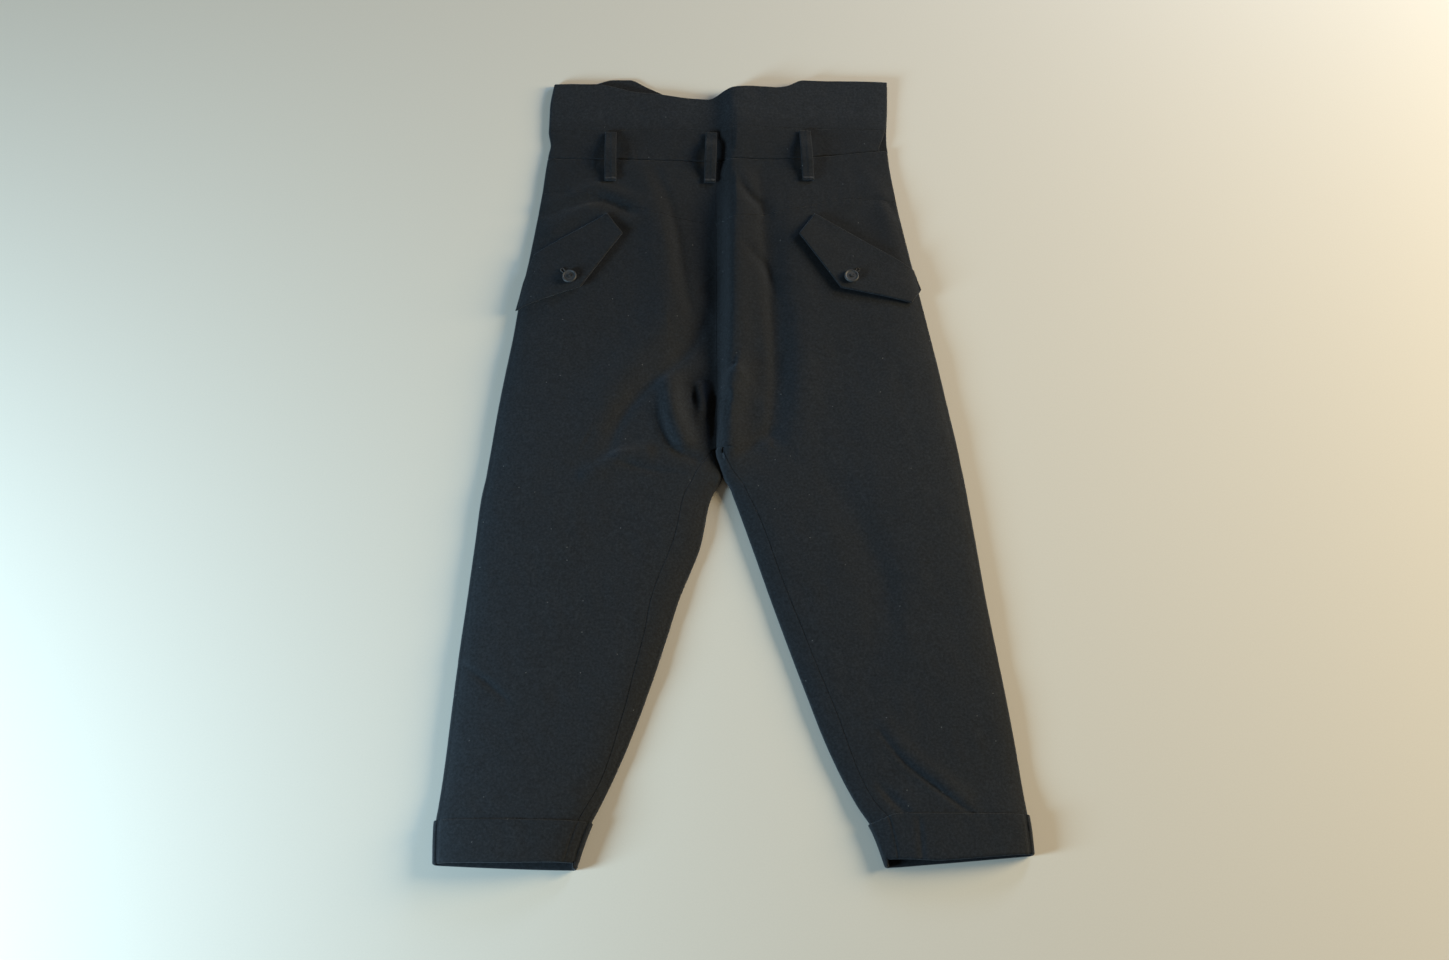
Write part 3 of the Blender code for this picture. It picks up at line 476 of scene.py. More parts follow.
class Half:
    """One half of the garment: side is -1 for the wearer's left and 1 for the right."""

    def __init__(self, side, levels=BACK_LEVELS, thickness=CLOTH):
        self.side = side
        self.levels = levels
        self.thickness = thickness
        self.name = "left" if side < 0 else "right"

    def row_y(self, row, x):
        return level_y(self.levels, row, x)

    def fold(self, which, row):
        """Where a folded edge lies on a row: its straight layers end at x, the loop has this radius."""
        outward = self.side if which == "outer" else -self.side
        x = edge(f"{self.name}_{which}", row)
        radius = np.full(np.shape(row), (UPPER_LAYER - self.thickness / 2) / 2)
        for _ in range(3):
            y = self.row_y(row, x + outward * radius)
            x = edge(f"{self.name}_{which}", y) - outward * (self.thickness / 2 + radius)
            low = self.thickness / 2 + hem_lift(y)
            radius = (upper(x, y) - low) / 2
        return x, radius, low

    def inset(self, row):
        return at_height(INSEAM, self.name, row)

    def seam_x(self, row):
        """Where the upper layer starts: at the centre seam, or at the inseam below the crotch."""
        centre = edge(f"{self.name}_inner", row) + self.side * SEAM_GAP / 2
        start, _, _ = self.fold("inner", row)
        inseam = start + self.side * (self.inset(row) + SEAM_GAP / 2)
        return np.where(row > ROW_PARTED, centre, inseam)

    def back(self, column, row):
        """The upper layer: 0 to 1 over the top, 1 to 2 round the outer fold, 2 to 3 underneath."""
        start, (end, radius, low) = self.seam_x(row), self.fold("outer", row)
        x = start + (end - start) * np.minimum(column, 1)
        angle = np.pi * (np.clip(column, 1, 2) - 1)
        x = x + self.side * (radius * np.sin(angle) - WRAP * np.maximum(column - 2, 0))
        y = self.row_y(row, x)
        top = np.where(column < 1, upper(x, y), low + 2 * radius)
        z = np.where(column <= 1, top, low + radius * (1 + np.cos(angle)))
        return point(x, y, z)

    def front(self, column, row):
        """The lower layer: 0 to 1 along the surface, then on round the inner fold to the inseam.

        Past 1 the column counts from 1 to 2 round the fold and from 2 to 3 over the top. Above
        the crotch the cloth stays on the surface and ends at the centre.
        """
        outer, _, _ = self.fold("outer", row)
        turn, radius, low = self.fold("inner", row)
        begin = outer - self.side * (WRAP + SEAM_GAP)
        opened = row > ROW_PARTED
        arc = np.pi * radius
        to_centre = np.abs(turn - edge(f"{self.name}_inner", row)) - SEAM_GAP / 2
        past = arc * np.clip(column - 1, 0, 1) + (self.inset(row) - SEAM_GAP / 2) * np.maximum(column - 2, 0)
        past = np.where(opened, to_centre * np.clip(column - 1, 0, 2) / 2, past)
        angle = np.clip(past, 0, arc) / radius
        x = begin + (turn - begin) * np.minimum(column, 1)
        x_turn = x - self.side * (radius * np.sin(angle) - np.maximum(past - arc, 0))
        x = np.where(opened, x - self.side * past, x_turn)
        y = self.row_y(row, x)
        low = self.thickness / 2 + hem_lift(y)
        on_top = np.where(past > arc, upper(x, y), low + radius * (1 - np.cos(angle)))
        z = np.where(opened | (column <= 1), low, on_top)
        return point(x, y, z)


# Meshes

# Radius of a wall's rounded edges: at the first and last column and the first and last row
Rounded = namedtuple("Rounded", "first last low high")

# Distances from a fine edge at which its first points lie, and the least share of the thickness
EDGE_STEPS = (0.0, 0.12, 0.35, 0.7, 1.2, 1.9)
EDGE_LEAST = 0.12

# Distances between points where little shows, and the steps round each fold
COARSE_STEP = 4.0
FRONT_STEP = 5.0
FOLD_STEPS = np.linspace(0, 1, 9)[:-1]
NEVER_ZERO = 1e-9


def unit(vectors):
    """The same directions with length 1."""
    return vectors / np.linalg.norm(vectors, axis=-1, keepdims=True)


def point(*parts):
    """Points from arrays of their coordinates."""
    return np.stack(parts, axis=-1)


def spaced(start, end, length, step, fine_start=True, fine_end=True):
    """Numbers from start to end for a run of this length in millimetres, closer near fine ends."""
    count = max(int(round(length / step)), 2)
    runs = np.linspace(0, length, count + 1)
    near = np.array(EDGE_STEPS)
    if fine_start:
        runs = np.concatenate([near, runs[runs > near[-1] + step / 2]])
    if fine_end:
        runs = np.concatenate([runs[runs < length - near[-1] - step / 2], length - near[::-1]])
    return start + (end - start) * runs / length


def build(name, spots, quads, uvs, finish):
    """A mesh object from points and a UV for every corner, both in millimetres, and quads.

    The quads are turned round if the volume that they enclose comes out below 0.
    """
    shifted = (spots - (CENTRE_X, CENTRE_Y, 0)) * MM
    first, *others = shifted[quads].transpose(1, 0, 2)
    if sum(np.sum(np.cross(first, a) * b) for a, b in zip(others, others[1:])) < 0:
        quads, uvs = quads[:, ::-1], uvs[:, ::-1]
    mesh = bpy.data.meshes.new(name)
    mesh.from_pydata(shifted.tolist(), [], quads.tolist())
    layer = mesh.uv_layers.new(name="cloth")
    layer.data.foreach_set("uv", (uvs.reshape(-1, 2) * MM).astype(np.float32).ravel())
    mesh.shade_smooth()
    mesh.materials.append(finish)
    made = bpy.data.objects.new(name, mesh)
    bpy.context.scene.collection.objects.link(made)
    return made


def grid_corners(rows, columns, closed):
    """Row and column numbers of the four corners of every quad of a grid."""
    j, i = np.meshgrid(np.arange(rows - 1), np.arange(columns if closed else columns - 1), indexing="ij")
    j, i = j.ravel(), i.ravel()
    return np.stack([j, j, j + 1, j + 1], -1), np.stack([i, i + 1, i + 1, i], -1)


def travel(points, axis):
    """Distance walked along the cloth from the first row or column of a grid."""
    steps = np.linalg.norm(np.diff(points, axis=axis), axis=-1)
    start = np.zeros_like(np.take(steps, [0], axis))
    return np.concatenate([start, np.cumsum(steps, axis)], axis)


def round_share(distance, radius):
    """Share of the full thickness near an edge, which is a quarter circle of this radius."""
    if radius <= 0:
        return np.ones_like(distance)
    t = np.clip(distance / radius, 0, 1)
    return np.maximum(np.sqrt(1 - (1 - t) ** 2), EDGE_LEAST)


def wall(name, surface, columns, rows, thickness, rounded, closed=False):
    """A wall about surface(column, row), which gives its middle.

    Each side is the middle moved along the normal by half the thickness. Near an edge the
    thickness falls off as a quarter circle, with a radius for the first and last column and
    the first and last row. The normal is the cross product of the two slopes.
    """
    column, row = np.meshgrid(np.asarray(columns, float), np.asarray(rows, float))
    across = surface(column + NORMAL_STEP, row) - surface(column - NORMAL_STEP, row)
    along = surface(column, row + NORMAL_STEP) - surface(column, row - NORMAL_STEP)
    middle = surface(column, row)
    count_rows, count_columns = column.shape
    loop = np.concatenate([middle, middle[:, :1]], axis=1) if closed else middle
    u, v = travel(loop, 1), travel(loop, 0)
    half = np.full(column.shape, thickness / 2)
    inner_u, inner_v = u[:, :count_columns], v[:, :count_columns]
    if not closed:
        half *= round_share(inner_u, rounded.first) * round_share(inner_u[:, -1:] - inner_u, rounded.last)
    half *= round_share(inner_v, rounded.low) * round_share(inner_v[-1:] - inner_v, rounded.high)
    offset = unit(np.cross(across, along)) * half[..., None]
    spots = np.concatenate([(middle + offset).reshape(-1, 3), (middle - offset).reshape(-1, 3)])
    size = count_rows * count_columns
    direction = np.sign(middle[0, -1, 0] - middle[0, 0, 0]) or 1
    uv = point(loop[:, :1, 0] + direction * u, loop[:1, :, 1] + v)

    j, i = grid_corners(count_rows, count_columns, closed)
    faces = j * count_columns + i % count_columns
    quads, uvs = [faces, size + faces[:, ::-1]], [uv[j, i], uv[j, i][:, ::-1]]
    i, j = np.arange(count_columns if closed else count_columns - 1), np.arange(count_rows - 1)
    end_i, end_j = 0 * j + count_columns - 1, 0 * i + count_rows - 1
    rims = [((0 * i, i + 1), (0 * i, i)), ((end_j, i), (end_j, i + 1))]
    if not closed:
        rims += [((j, 0 * j), (j + 1, 0 * j)), ((j + 1, end_i), (j, end_i))]
    for first, second in rims:
        a, b = (at[0] * count_columns + at[1] % count_columns for at in (first, second))
        quads.append(np.stack([a, b, size + b, size + a], -1))
        uvs.append(np.stack([uv[first], uv[second], uv[second], uv[first]], axis=1))
    return build(name, spots, np.concatenate(quads), np.concatenate(uvs), dark_wool())


def tube(name, path, radius, sides):
    """A round thread along a path: rings of this radius, which may vary, set square to the path."""
    tangent = unit(np.gradient(path, axis=0))
    aside = unit(np.cross(tangent, (0, 0, 1)) + NEVER_ZERO)
    above = np.cross(aside, tangent)
    turn = (np.arange(sides) * 2 * np.pi / sides)[:, None]
    rings = np.cos(turn) * aside[:, None] + np.sin(turn) * above[:, None]
    return closed_rings(name, path[:, None] + np.reshape(radius, (-1, 1, 1)) * rings, sewing_thread())


def closed_rings(name, rings, finish):
    """A closed body from rings of points, whose first and last ring end in a point at their middle."""
    count, sides = rings.shape[:2]
    j, i = grid_corners(count, sides, True)
    faces = j * sides + i % sides
    spots = np.concatenate([rings.reshape(-1, 3), rings[:1].mean(1), rings[-1:].mean(1)])
    k = np.arange(0, sides, 2)
    after, last = (k + 2) % sides, (count - 1) * sides
    first_cap = np.stack([0 * k + last + sides, after, k + 1, k], -1)
    last_cap = np.stack([0 * k + last + sides + 1, k + last, k + 1 + last, after + last], -1)
    quads = np.concatenate([faces, first_cap, last_cap])
    return build(name, spots, quads, spots[quads][:, :, :2], finish)


# Materials

# Noise: cells per metre, detail and roughness
Grain = namedtuple("Grain", "scale detail roughness")
DRIFT = Grain(240.0, 1.0, 0.5)
NAP = Grain(1500.0, 3.0, 0.7)
CLUMP = Grain(420.0, 2.0, 0.65)
PATCH = Grain(46.0, 3.0, 0.6)
BROAD = Grain(11.0, 2.0, 0.5)
FUZZ = Grain(2600.0, 2.0, 0.5)
CLOUD = Grain(260.0, 3.0, 0.6)
SCUFF = Grain(1900.0, 4.0, 0.75)
STREAK = Grain(90.0, 5.0, 0.7)
TOOTH = Grain(600.0, 3.0, 0.6)

# A speck of lint: its radius in cells, and what the cell and the nap must pass
LINT_RADIUS = 0.028
LINT_CHOSEN = 0.93
LINT_NAP = 0.42
LINT_COVER = 0.75

# Painted shade: the seat is darkened, and the shade starts and ends softly between these heights y in metres
SEAT_START = (0.0, 0.22)
SEAT_END = (0.355, 0.385)
SEAT_PAINTED_SHADE = 0.28
TONE_LEAST = 0.1
THREAD_TWIST = 9000.0


class Term:
    """A number in a material. Python's operators on it add Math nodes."""

    def __init__(self, shading, socket):
        self.shading = shading
        self.socket = socket

    def math(self, operation, *others):
        made = self.shading.node("ShaderNodeMath", {"operation": operation}, dict(enumerate((self, *others))))
        return Term(self.shading, made.outputs[0])

    def __rsub__(self, other):
        return self.math("MULTIPLY_ADD", -1.0, other)

    __add__ = __radd__ = partialmethod(math, "ADD")
    __mul__ = __rmul__ = partialmethod(math, "MULTIPLY")
    __sub__ = partialmethod(math, "SUBTRACT")
    __gt__ = partialmethod(math, "GREATER_THAN")
    __lt__ = partialmethod(math, "LESS_THAN")


class Shading:
    """A new material and the one way of adding nodes to it."""

    def __init__(self, name):
        self.material = bpy.data.materials.new(name)
        self.material.use_nodes = True
        self.tree = self.material.node_tree
        self.shader = self.tree.nodes["Principled BSDF"]
        self.place = self.node("ShaderNodeTexCoord").outputs["Object"]

    def node(self, kind, settings=None, sockets=None):
        """Adds a node: its settings first, then a value or a link for each named socket."""
        made = self.tree.nodes.new(kind)
        for key, value in (settings or {}).items():
            setattr(made, key, value)
        for key, value in (sockets or {}).items():
            self.feed(made.inputs[key], value)
        return made

    def feed(self, socket, value):
        if isinstance(value, Term):
            value = value.socket
        if isinstance(value, bpy.types.NodeSocket):
            self.tree.links.new(value, socket)
        else:
            socket.default_value = value

    def term(self, *request, output=0):
        return Term(self, self.node(*request).outputs[output])

    def parts(self, vector):
        """The X, Y and Z of a vector."""
        return [Term(self, part) for part in self.node("ShaderNodeSeparateXYZ", {}, {0: vector}).outputs]

    def noise(self, grain):
        return self.term("ShaderNodeTexNoise", {}, {
            "Vector": self.place, "Scale": grain.scale, "Detail": grain.detail, "Roughness": grain.roughness})

    def ramp(self, number, span):
        """Rises smoothly from 0 at the start of a span to 1 at its end."""
        return self.term("ShaderNodeMapRange", {"interpolation_type": "SMOOTHSTEP"},
                         {0: number, 1: span[0], 2: span[1]})

    def mix(self, factor, first, second):
        """Blends two colours by a number from 0 to 1."""
        return self.node("ShaderNodeMix", {"data_type": "RGBA"}, {0: factor, 6: first, 7: second}).outputs[2]

    def scaled(self, colour, factor):
        """A colour times a number."""
        made = self.node("ShaderNodeVectorMath", {"operation": "SCALE"}, {0: tuple(colour), 3: factor})
        return made.outputs[0]

    def bump(self, strength, distance, height):
        return self.node("ShaderNodeBump", {}, {
            "Strength": strength, "Distance": distance, "Height": height}).outputs[0]

    def set(self, **values):
        """Feeds the shader's own sockets, named with _ for a space, and gives the material."""
        for key, value in values.items():
            self.feed(self.shader.inputs[key.replace("_", " ")], value)
        return self.material


def shared(make):
    """Makes a material once, under the function's name, and finds it by that name after that."""
    @wraps(make)
    def find():
        return bpy.data.materials.get(make.__name__) or make(Shading(make.__name__), bpy.context.scene)

    return find


@shared
def dark_wool(shading, scene):
    """Fulled wool: a fine twill under a short nap, mottled dark, with a few pale specks of lint.

    The twill is a sine over u + v for its ribs and one over u - 2v for its yarns. The seat is
    painted a little darker than the legs and the bands, as shade where less light falls.
    """
    settings = scene.breeches_cloth
    weave_uv = shading.node("ShaderNodeUVMap", {"uv_map": "cloth"}).outputs[0]
    turns = 2 * math.pi / settings.weave_pitch
    u, v = (part * turns for part in shading.parts(weave_uv)[:2])
    drift = shading.noise(DRIFT) * 2.6
    rib = (u + v + drift).math("SINE") * 0.5 + 0.5
    yarn = (u - v * 2.0 + drift).math("SINE") * 0.5 + 0.5
    weave = rib * 0.62 + yarn * 0.38
    nap, clump, patch, broad = (shading.noise(grain) for grain in (NAP, CLUMP, PATCH, BROAD))
    specks = shading.node("ShaderNodeTexVoronoi", {"voronoi_dimensions": "2D", "feature": "F1"}, {
        "Vector": weave_uv, "Scale": settings.lint_density, "Randomness": 1.0})
    chosen = shading.term("ShaderNodeSeparateColor", {}, {0: specks.outputs["Color"]})
    near = Term(shading, specks.outputs["Distance"])
    lint = (near < LINT_RADIUS) * (chosen > LINT_CHOSEN) * (nap > LINT_NAP)
    tone = -0.42 + clump * 1.65 + nap * 1.15 + patch * 0.22 + weave * 0.16 + broad * 0.06
    away = shading.parts(shading.place)[1]
    # Painted shade: the cloth over the seat is darkened here
    seat = shading.ramp(away, SEAT_START) * (1 - shading.ramp(away, SEAT_END))
    tone = tone.math("MAXIMUM", TONE_LEAST) * (1 - seat * SEAT_PAINTED_SHADE)
    cool = shading.mix((clump - 0.5) * 1.6 + 0.35, shading.scaled(settings.wool_colour, tone),
                       shading.scaled(settings.fibre_colour, tone))
    height = weave * 0.35 + nap * 0.75 + clump * 0.55
    return shading.set(
        Base_Color=shading.mix(lint * LINT_COVER, cool, (*settings.lint_colour, 1)),
        Normal=shading.bump(settings.nap_strength, settings.nap_depth, height),
        Roughness=0.78 + clump * 0.2, Specular_IOR_Level=0.22,
        Sheen_Weight=0.16, Sheen_Roughness=0.40, Sheen_Tint=(0.75, 0.85, 1.0, 1.0))


@shared
def sewing_thread(shading, scene):
    """Twisted thread: slanting dark and light bands round each strand, with a soft shine."""
    x, y, _ = shading.parts(shading.place)
    twist = ((x + y * 0.8) * THREAD_TWIST).math("SINE") * 0.5 + 0.5
    fuzz = shading.noise(FUZZ)
    return shading.set(
        Base_Color=shading.scaled(scene.breeches_trim.thread_colour, 0.55 + twist * 0.5 + fuzz * 0.4),
        Normal=shading.bump(0.5, 0.0001, twist + fuzz * 0.4), Roughness=0.5 + fuzz * 0.25,
        Specular_IOR_Level=0.4)


@shared
def button_plastic(shading, scene):
    """Dark moulded plastic: faintly clouded, with fine worn, duller patches."""
    cloud, scuff, streak = (shading.noise(grain) for grain in (CLOUD, SCUFF, STREAK))
    return shading.set(
        Base_Color=shading.scaled(scene.breeches_trim.button_colour, 0.45 + cloud * 0.7 + streak * 0.45),
        Normal=shading.bump(0.25, 0.00008, scuff), Roughness=0.36 + scuff * 0.3, Specular_IOR_Level=0.35)


@shared
def pale_floor(shading, scene):
    """Plain pale paper with the faintest unevenness."""
    colour = shading.scaled(scene.breeches_stage.floor_colour, 0.97 + shading.noise(TOOTH) * 0.06)
    return shading.set(Base_Color=colour, Roughness=0.9, Specular_IOR_Level=0.1)


# Pieces

def join(piece):
    """Lets a piece move with the garment."""
    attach(piece, "root")
    return piece


def dress(piece, node, with_pieces=()):
    """Puts a cloth piece in the place of a solid."""
    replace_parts(join(piece), node)


def mesh_step():
    return bpy.context.scene.breeches_cloth.mesh_step / MM


def back_columns(width):
    """Columns of the upper layer: over the top, round the outer fold and back underneath."""
    top = spaced(0, 1, width, mesh_step(), fine_end=False)
    return np.concatenate([top[:-1], 1 + FOLD_STEPS, 2 + spaced(0, 1, WRAP, COARSE_STEP, False)])


def make_panel(node, surface, columns, rows, gaps, thickness, rounded):
    """A panel between two rows, which leaves half of a gap free at each."""
    low, high = rows
    rows = spaced(low + gaps[0] / 2, high - gaps[1] / 2, high - low, mesh_step())
    dress(wall(f"{node}_cloth", surface, columns, rows, thickness, rounded), node)


def make_back(side):
    """The back of one half: its leg and the yoke above it."""
    half = Half(side)
    make_panel(f"back_leg_{half.name}", half.back, back_columns(width=226), (ROW_LEG_END, ROW_YOKE),
               (0, SEAM_GAP), CLOTH, Rounded(0.15, 0.6, 0.6, 0.22))
    make_panel(f"back_yoke_{half.name}", half.back, back_columns(width=190), (ROW_YOKE, ROW_WAIST),
               (SEAM_GAP, WAIST_GAP), CLOTH, Rounded(0.15, 0.6, 0.22, 1.4))


def make_front(side):
    """The front of one leg, which comes round the inner fold to the inseam."""
    half = Half(side, FRONT_LEVELS)
    columns = np.concatenate([spaced(0, 1, 200, FRONT_STEP, True, False)[:-1], 1 + FOLD_STEPS,
                              2 + spaced(0, 1, 17, mesh_step() * 0.9, False)])
    make_panel(f"front_leg_{half.name}", half.front, columns, (ROW_LEG_END, ROW_WAIST), (0, SEAM_GAP),
               CLOTH, Rounded(0.6, 0.8, 0.6, 0.8))


def back_band_point(column, row):
    """The back bands: negative columns are the left half, positive ones end at the opening."""
    left = Half(-1, BACK_LEVELS, BAND_CLOTH)
    centre = edge("left_inner", row)
    outer, radius, low = left.fold("outer", row)
    free = at_height(BAND_OPENING, "x", level_y(BACK_LEVELS, row, BAND_OPENING_X + 0 * row))
    on_left = np.maximum(-column, 0)
    angle = np.pi * (np.clip(on_left, 1, 2) - 1)
    x = centre + (outer - centre) * np.minimum(on_left, 1) + (free - centre) * np.maximum(column, 0)
    x = x - radius * np.sin(angle) + WRAP * np.maximum(on_left - 2, 0)
    y = level_y(BACK_LEVELS, row, x)
    z = np.where(on_left < 1, upper(x, y), low + radius * (1 + np.cos(angle)))
    return point(x, y, z)


def front_band_point(column, row):
    """The front bands lie flat: -1 is the left side seam, 0 the centre and 2 the free right edge."""
    (left, _, _), (right, _, _) = (Half(side, FRONT_LEVELS).fold("outer", row) for side in (-1, 1))
    begin, centre, seam = left + WRAP + SEAM_GAP, edge("left_inner", row), right - WRAP - SEAM_GAP
    free = edge("right_outer", row)
    x = centre + (centre - begin) * np.minimum(column, 0) + (seam - centre) * np.clip(column, 0, 1)
    x = x + (free - seam) * np.maximum(column - 1, 0)
    y = level_y(FRONT_LEVELS, row, x)
    return point(x, y, np.full(np.shape(x), BAND_CLOTH / 2))


def make_bands():
    """The waistband and the top band, each of a back and a front piece."""
    back = np.concatenate([-back_columns(width=180)[::-1], spaced(0, 1, 180, mesh_step(), False)[1:]])
    front = np.concatenate([spaced(-1, 0, 170, COARSE_STEP, True, False),
                            spaced(0, 2, 190, COARSE_STEP, False)[1:]])
    for name, rows, gap, edges in (("waistband", (ROW_WAIST, ROW_BAND), WAIST_GAP, (1.4, 0.14)),
                                   ("top_band", (ROW_BAND, ROW_TOP), SEAM_GAP, (0.14, 1.1))):
        for where, surface, columns in (("back", back_band_point, back), ("front", front_band_point, front)):
            make_panel(f"{name}_{where}", surface, columns, rows, (gap, SEAM_GAP), BAND_CLOTH,
                       Rounded(0.8, 1.1, *edges))


# The seam shows on a turn-up as a groove: its depth, its width, and a distance that is past it
CUFF_SEAM_DEPTH = 0.55
CUFF_SEAM_WIDTH = 0.7
CUFF_SEAM_REACH = 9.0

# Steps round a turn-up: over the top, underneath, and finer ones to both sides of its seam
CUFF_OVER_STEPS = 70
CUFF_UNDER_STEPS = 40
CUFF_FINE_STEPS = 17
CUFF_FINE_REACH = 0.05


def make_cuff(side):
    """The turn-up: a ring round the leg whose section runs up inside, round the edge and down."""
    half = Half(side)
    turn = TURN_UP_RISE / 2
    inner_end = ROW_LEG_END - SEAM_GAP
    bottom = ROW_CUFF_EDGE + turn + CLOTH / 2

    def lift(place, row):
        """How far the lower edge is raised: fully on the top layer, not at all underneath."""
        inner, outer = edge(f"{half.name}_inner", row), edge(f"{half.name}_outer", row)
        x = inner + (outer - inner) * np.clip(place, 0, 1)
        share = 1 - smooth_step(1.0, 2.0, place) + smooth_step(3.0, 4.0, place)
        return line(CUFF_LIFT_LINE, x) * share

    def section(place, step, row_lift):
        """Row and outward offset along the section: 0 to 1 inside, 1 to 2 the turn, 2 to 3 outside."""
        angle = np.pi * (np.clip(step, 1, 2) - 1)
        edge_row = bottom + row_lift
        row = inner_end + (edge_row - inner_end) * np.minimum(step, 1)
        row = row - turn * np.sin(angle) + (ROW_CUFF_TOP - edge_row) * np.maximum(step - 2, 0)
        return row, turn * (1 - np.cos(angle))

    def ring(place, row):
        """The leg's own loop: 0 to 1 on top, 1 to 2 the outer fold, 2 to 3 under, 3 to 4 the inner fold."""
        inner, inner_radius, _ = half.fold("inner", row)
        outer, radius, low = half.fold("outer", row)
        place = np.mod(place, 4)
        over, under = np.clip(place, 0, 1), np.clip(place - 2, 0, 1)
        x = inner + (outer - inner) * (over - under)
        outer_angle = np.pi * np.clip(place - 1, 0, 1)
        inner_angle = np.pi * np.clip(place - 3, 0, 1)
        x = x + side * (radius * np.sin(outer_angle) - inner_radius * np.sin(inner_angle))
        y = level_y(BACK_LEVELS, row, x)
        z = np.select((place <= 1, place <= 2, place <= 3),
                      (upper(x, y), low + radius * (1 + np.cos(outer_angle)), low),
                      low + inner_radius * (1 - np.cos(inner_angle)))
        return point(x, y, z)

    def surface(place, step):
        place = np.mod(place, 4)
        row, offset = section(place, step, lift(place, np.full(np.shape(place), ROW_CUFF_EDGE)))
        around = ring(place + NORMAL_STEP, row) - ring(place - NORMAL_STEP, row)
        down = ring(place, row + NORMAL_STEP) - ring(place, row - NORMAL_STEP)
        normal = unit(np.cross(down, around) * -side)
        here = ring(place, row)
        seam = half.fold("inner", row)[0] + side * half.inset(row)
        from_seam = np.where(place <= 1, here[..., 0] - seam, CUFF_SEAM_REACH)
        groove = CUFF_SEAM_DEPTH * np.exp(-((from_seam / CUFF_SEAM_WIDTH) ** 2)) * np.clip(step - 1, 0, 1)
        return here + normal * (offset - groove)[..., None]

    seam_place = half.inset(ROW_CUFF_EDGE) / abs(edge(f"{half.name}_outer", ROW_CUFF_EDGE)
                                                 - edge(f"{half.name}_inner", ROW_CUFF_EDGE))
    over, under = (np.arange(count) / count for count in (CUFF_OVER_STEPS, CUFF_UNDER_STEPS))
    fine = seam_place + np.linspace(-CUFF_FINE_REACH, CUFF_FINE_REACH, CUFF_FINE_STEPS)
    over = np.concatenate([over[over < fine[0]], fine[fine > 0], over[over > fine[-1]]])
    places = np.concatenate([over, 1 + FOLD_STEPS, 2 + under, 3 + FOLD_STEPS])
    steps = np.concatenate([FOLD_STEPS, 1 + FOLD_STEPS, 2 + spaced(0, 1, 40, mesh_step(), False)])
    node = f"cuff_{half.name}"
    dress(wall(f"{node}_cloth", surface, places, steps, CLOTH, Rounded(0, 0, 0.5, 0.8), closed=True), node)


def loop_point(loop, across, along):
    """A belt loop's middle, which is sewn down at both ends and arched between.

    It is the upper layer's height plus the arch times a soft rise and fall along the loop, plus
    a bell-shaped ridge across it, less a drop with the fourth power of the way to its side.
    """
    x = loop.x_foot + (loop.x_top - loop.x_foot) * along + across * LOOP_WIDTH / 2
    y = LOOP_FOOT + (LOOP_TOP - LOOP_FOOT) * along
    rise = smooth_step(LOOP_TAB, LOOP_CREST[0], along)
    rise = rise * (1 - smooth_step(LOOP_CREST[1], 1 - LOOP_TAB / 2, along))
    middle = x - across * LOOP_WIDTH / 2
    ground = upper(x, y) * (1 - rise) + upper(middle, y) * rise
    ridge = LOOP_RIDGE * np.exp(-(((across - LOOP_RIDGE_AT) / LOOP_RIDGE_WIDTH) ** 2)) - LOOP_DROP * across**4
    z = ground + (BAND_CLOTH + LOOP_CLOTH) / 2 + LOOP_REST + loop.arch * rise + ridge
    return point(x, y, z)


def make_belt_loops():
    across = spaced(-1, 1, LOOP_WIDTH, LOOP_STEPS[0])
    along = spaced(0, 1, LOOP_TOP - LOOP_FOOT, LOOP_STEPS[1])
    for loop in LOOPS:
        piece = wall(f"{loop.name}_cloth", partial(loop_point, loop), across, along, LOOP_CLOTH,
                     Rounded(LOOP_EDGE, LOOP_EDGE, 1.0, 1.0))
        dress(piece, loop.name, [make_tack(loop)])


def make_tack(loop):
    """The bar of close stitches at a loop's foot: one thread that runs evenly across it.

    On its way it swings up and down the loop as a sine whose turns are made blunt by a power.
    """
    t = np.linspace(0, 1, TACK_TURNS * 10 + 1)
    wave = np.sin(2 * np.pi * TACK_TURNS * t)
    along = TACK_ALONG + TACK_HALF * np.sign(wave) * np.abs(wave) ** 0.6
    path = loop_point(loop, TACK_REACH * (2 * t - 1), along)
    path[:, 2] += LOOP_CLOTH / 2 + TACK_CLEARANCE
    return join(tube(f"{loop.name}_tack", path, TACK_RADIUS, 8))


def flap_point(flap, along, across):
    """A flap's middle: a patch between its four sides, along the sewn edge and across to the free one.

    In plan it is the blend of both pairs of opposite sides, less that of the corners. Its height
    is the upper layer's, plus a soft rise towards the free edge that is less at the outer end.
    """
    def path(points, shares, t):
        points = np.array(points, float)
        return np.stack([np.interp(t, shares, points[:, k]) for k in range(2)], axis=-1)

    a, b = along[..., None], across[..., None]
    sewn = path((flap.seam_in, flap.seam_out), (0, 1), along)
    free = path((flap.low_in, flap.low_mid, flap.low_out), (0, FLAP_CORNER, 1), along)
    inner = path((flap.seam_in, flap.low_in), (0, 1), across)
    outer = path((flap.seam_out, flap.side, flap.low_out), (0, 0.5, 1), across)
    corners = ((1 - a) * (1 - b) * np.array(flap.seam_in) + a * (1 - b) * np.array(flap.seam_out)
               + (1 - a) * b * np.array(flap.low_in) + a * b * np.array(flap.low_out))
    flat = (1 - b) * sewn + b * free + (1 - a) * inner + a * outer - corners
    x, y = flat[..., 0], flat[..., 1]
    proud = FLAP_PROUD * smooth_step(FLAP_BEND, 1, across)
    proud = proud * (1 - FLAP_OUTER_LOSS * smooth_step(0.5, 1, along))
    return point(x, y, upper(x, y) + (CLOTH + FLAP_CLOTH) / 2 + FLAP_REST + proud)


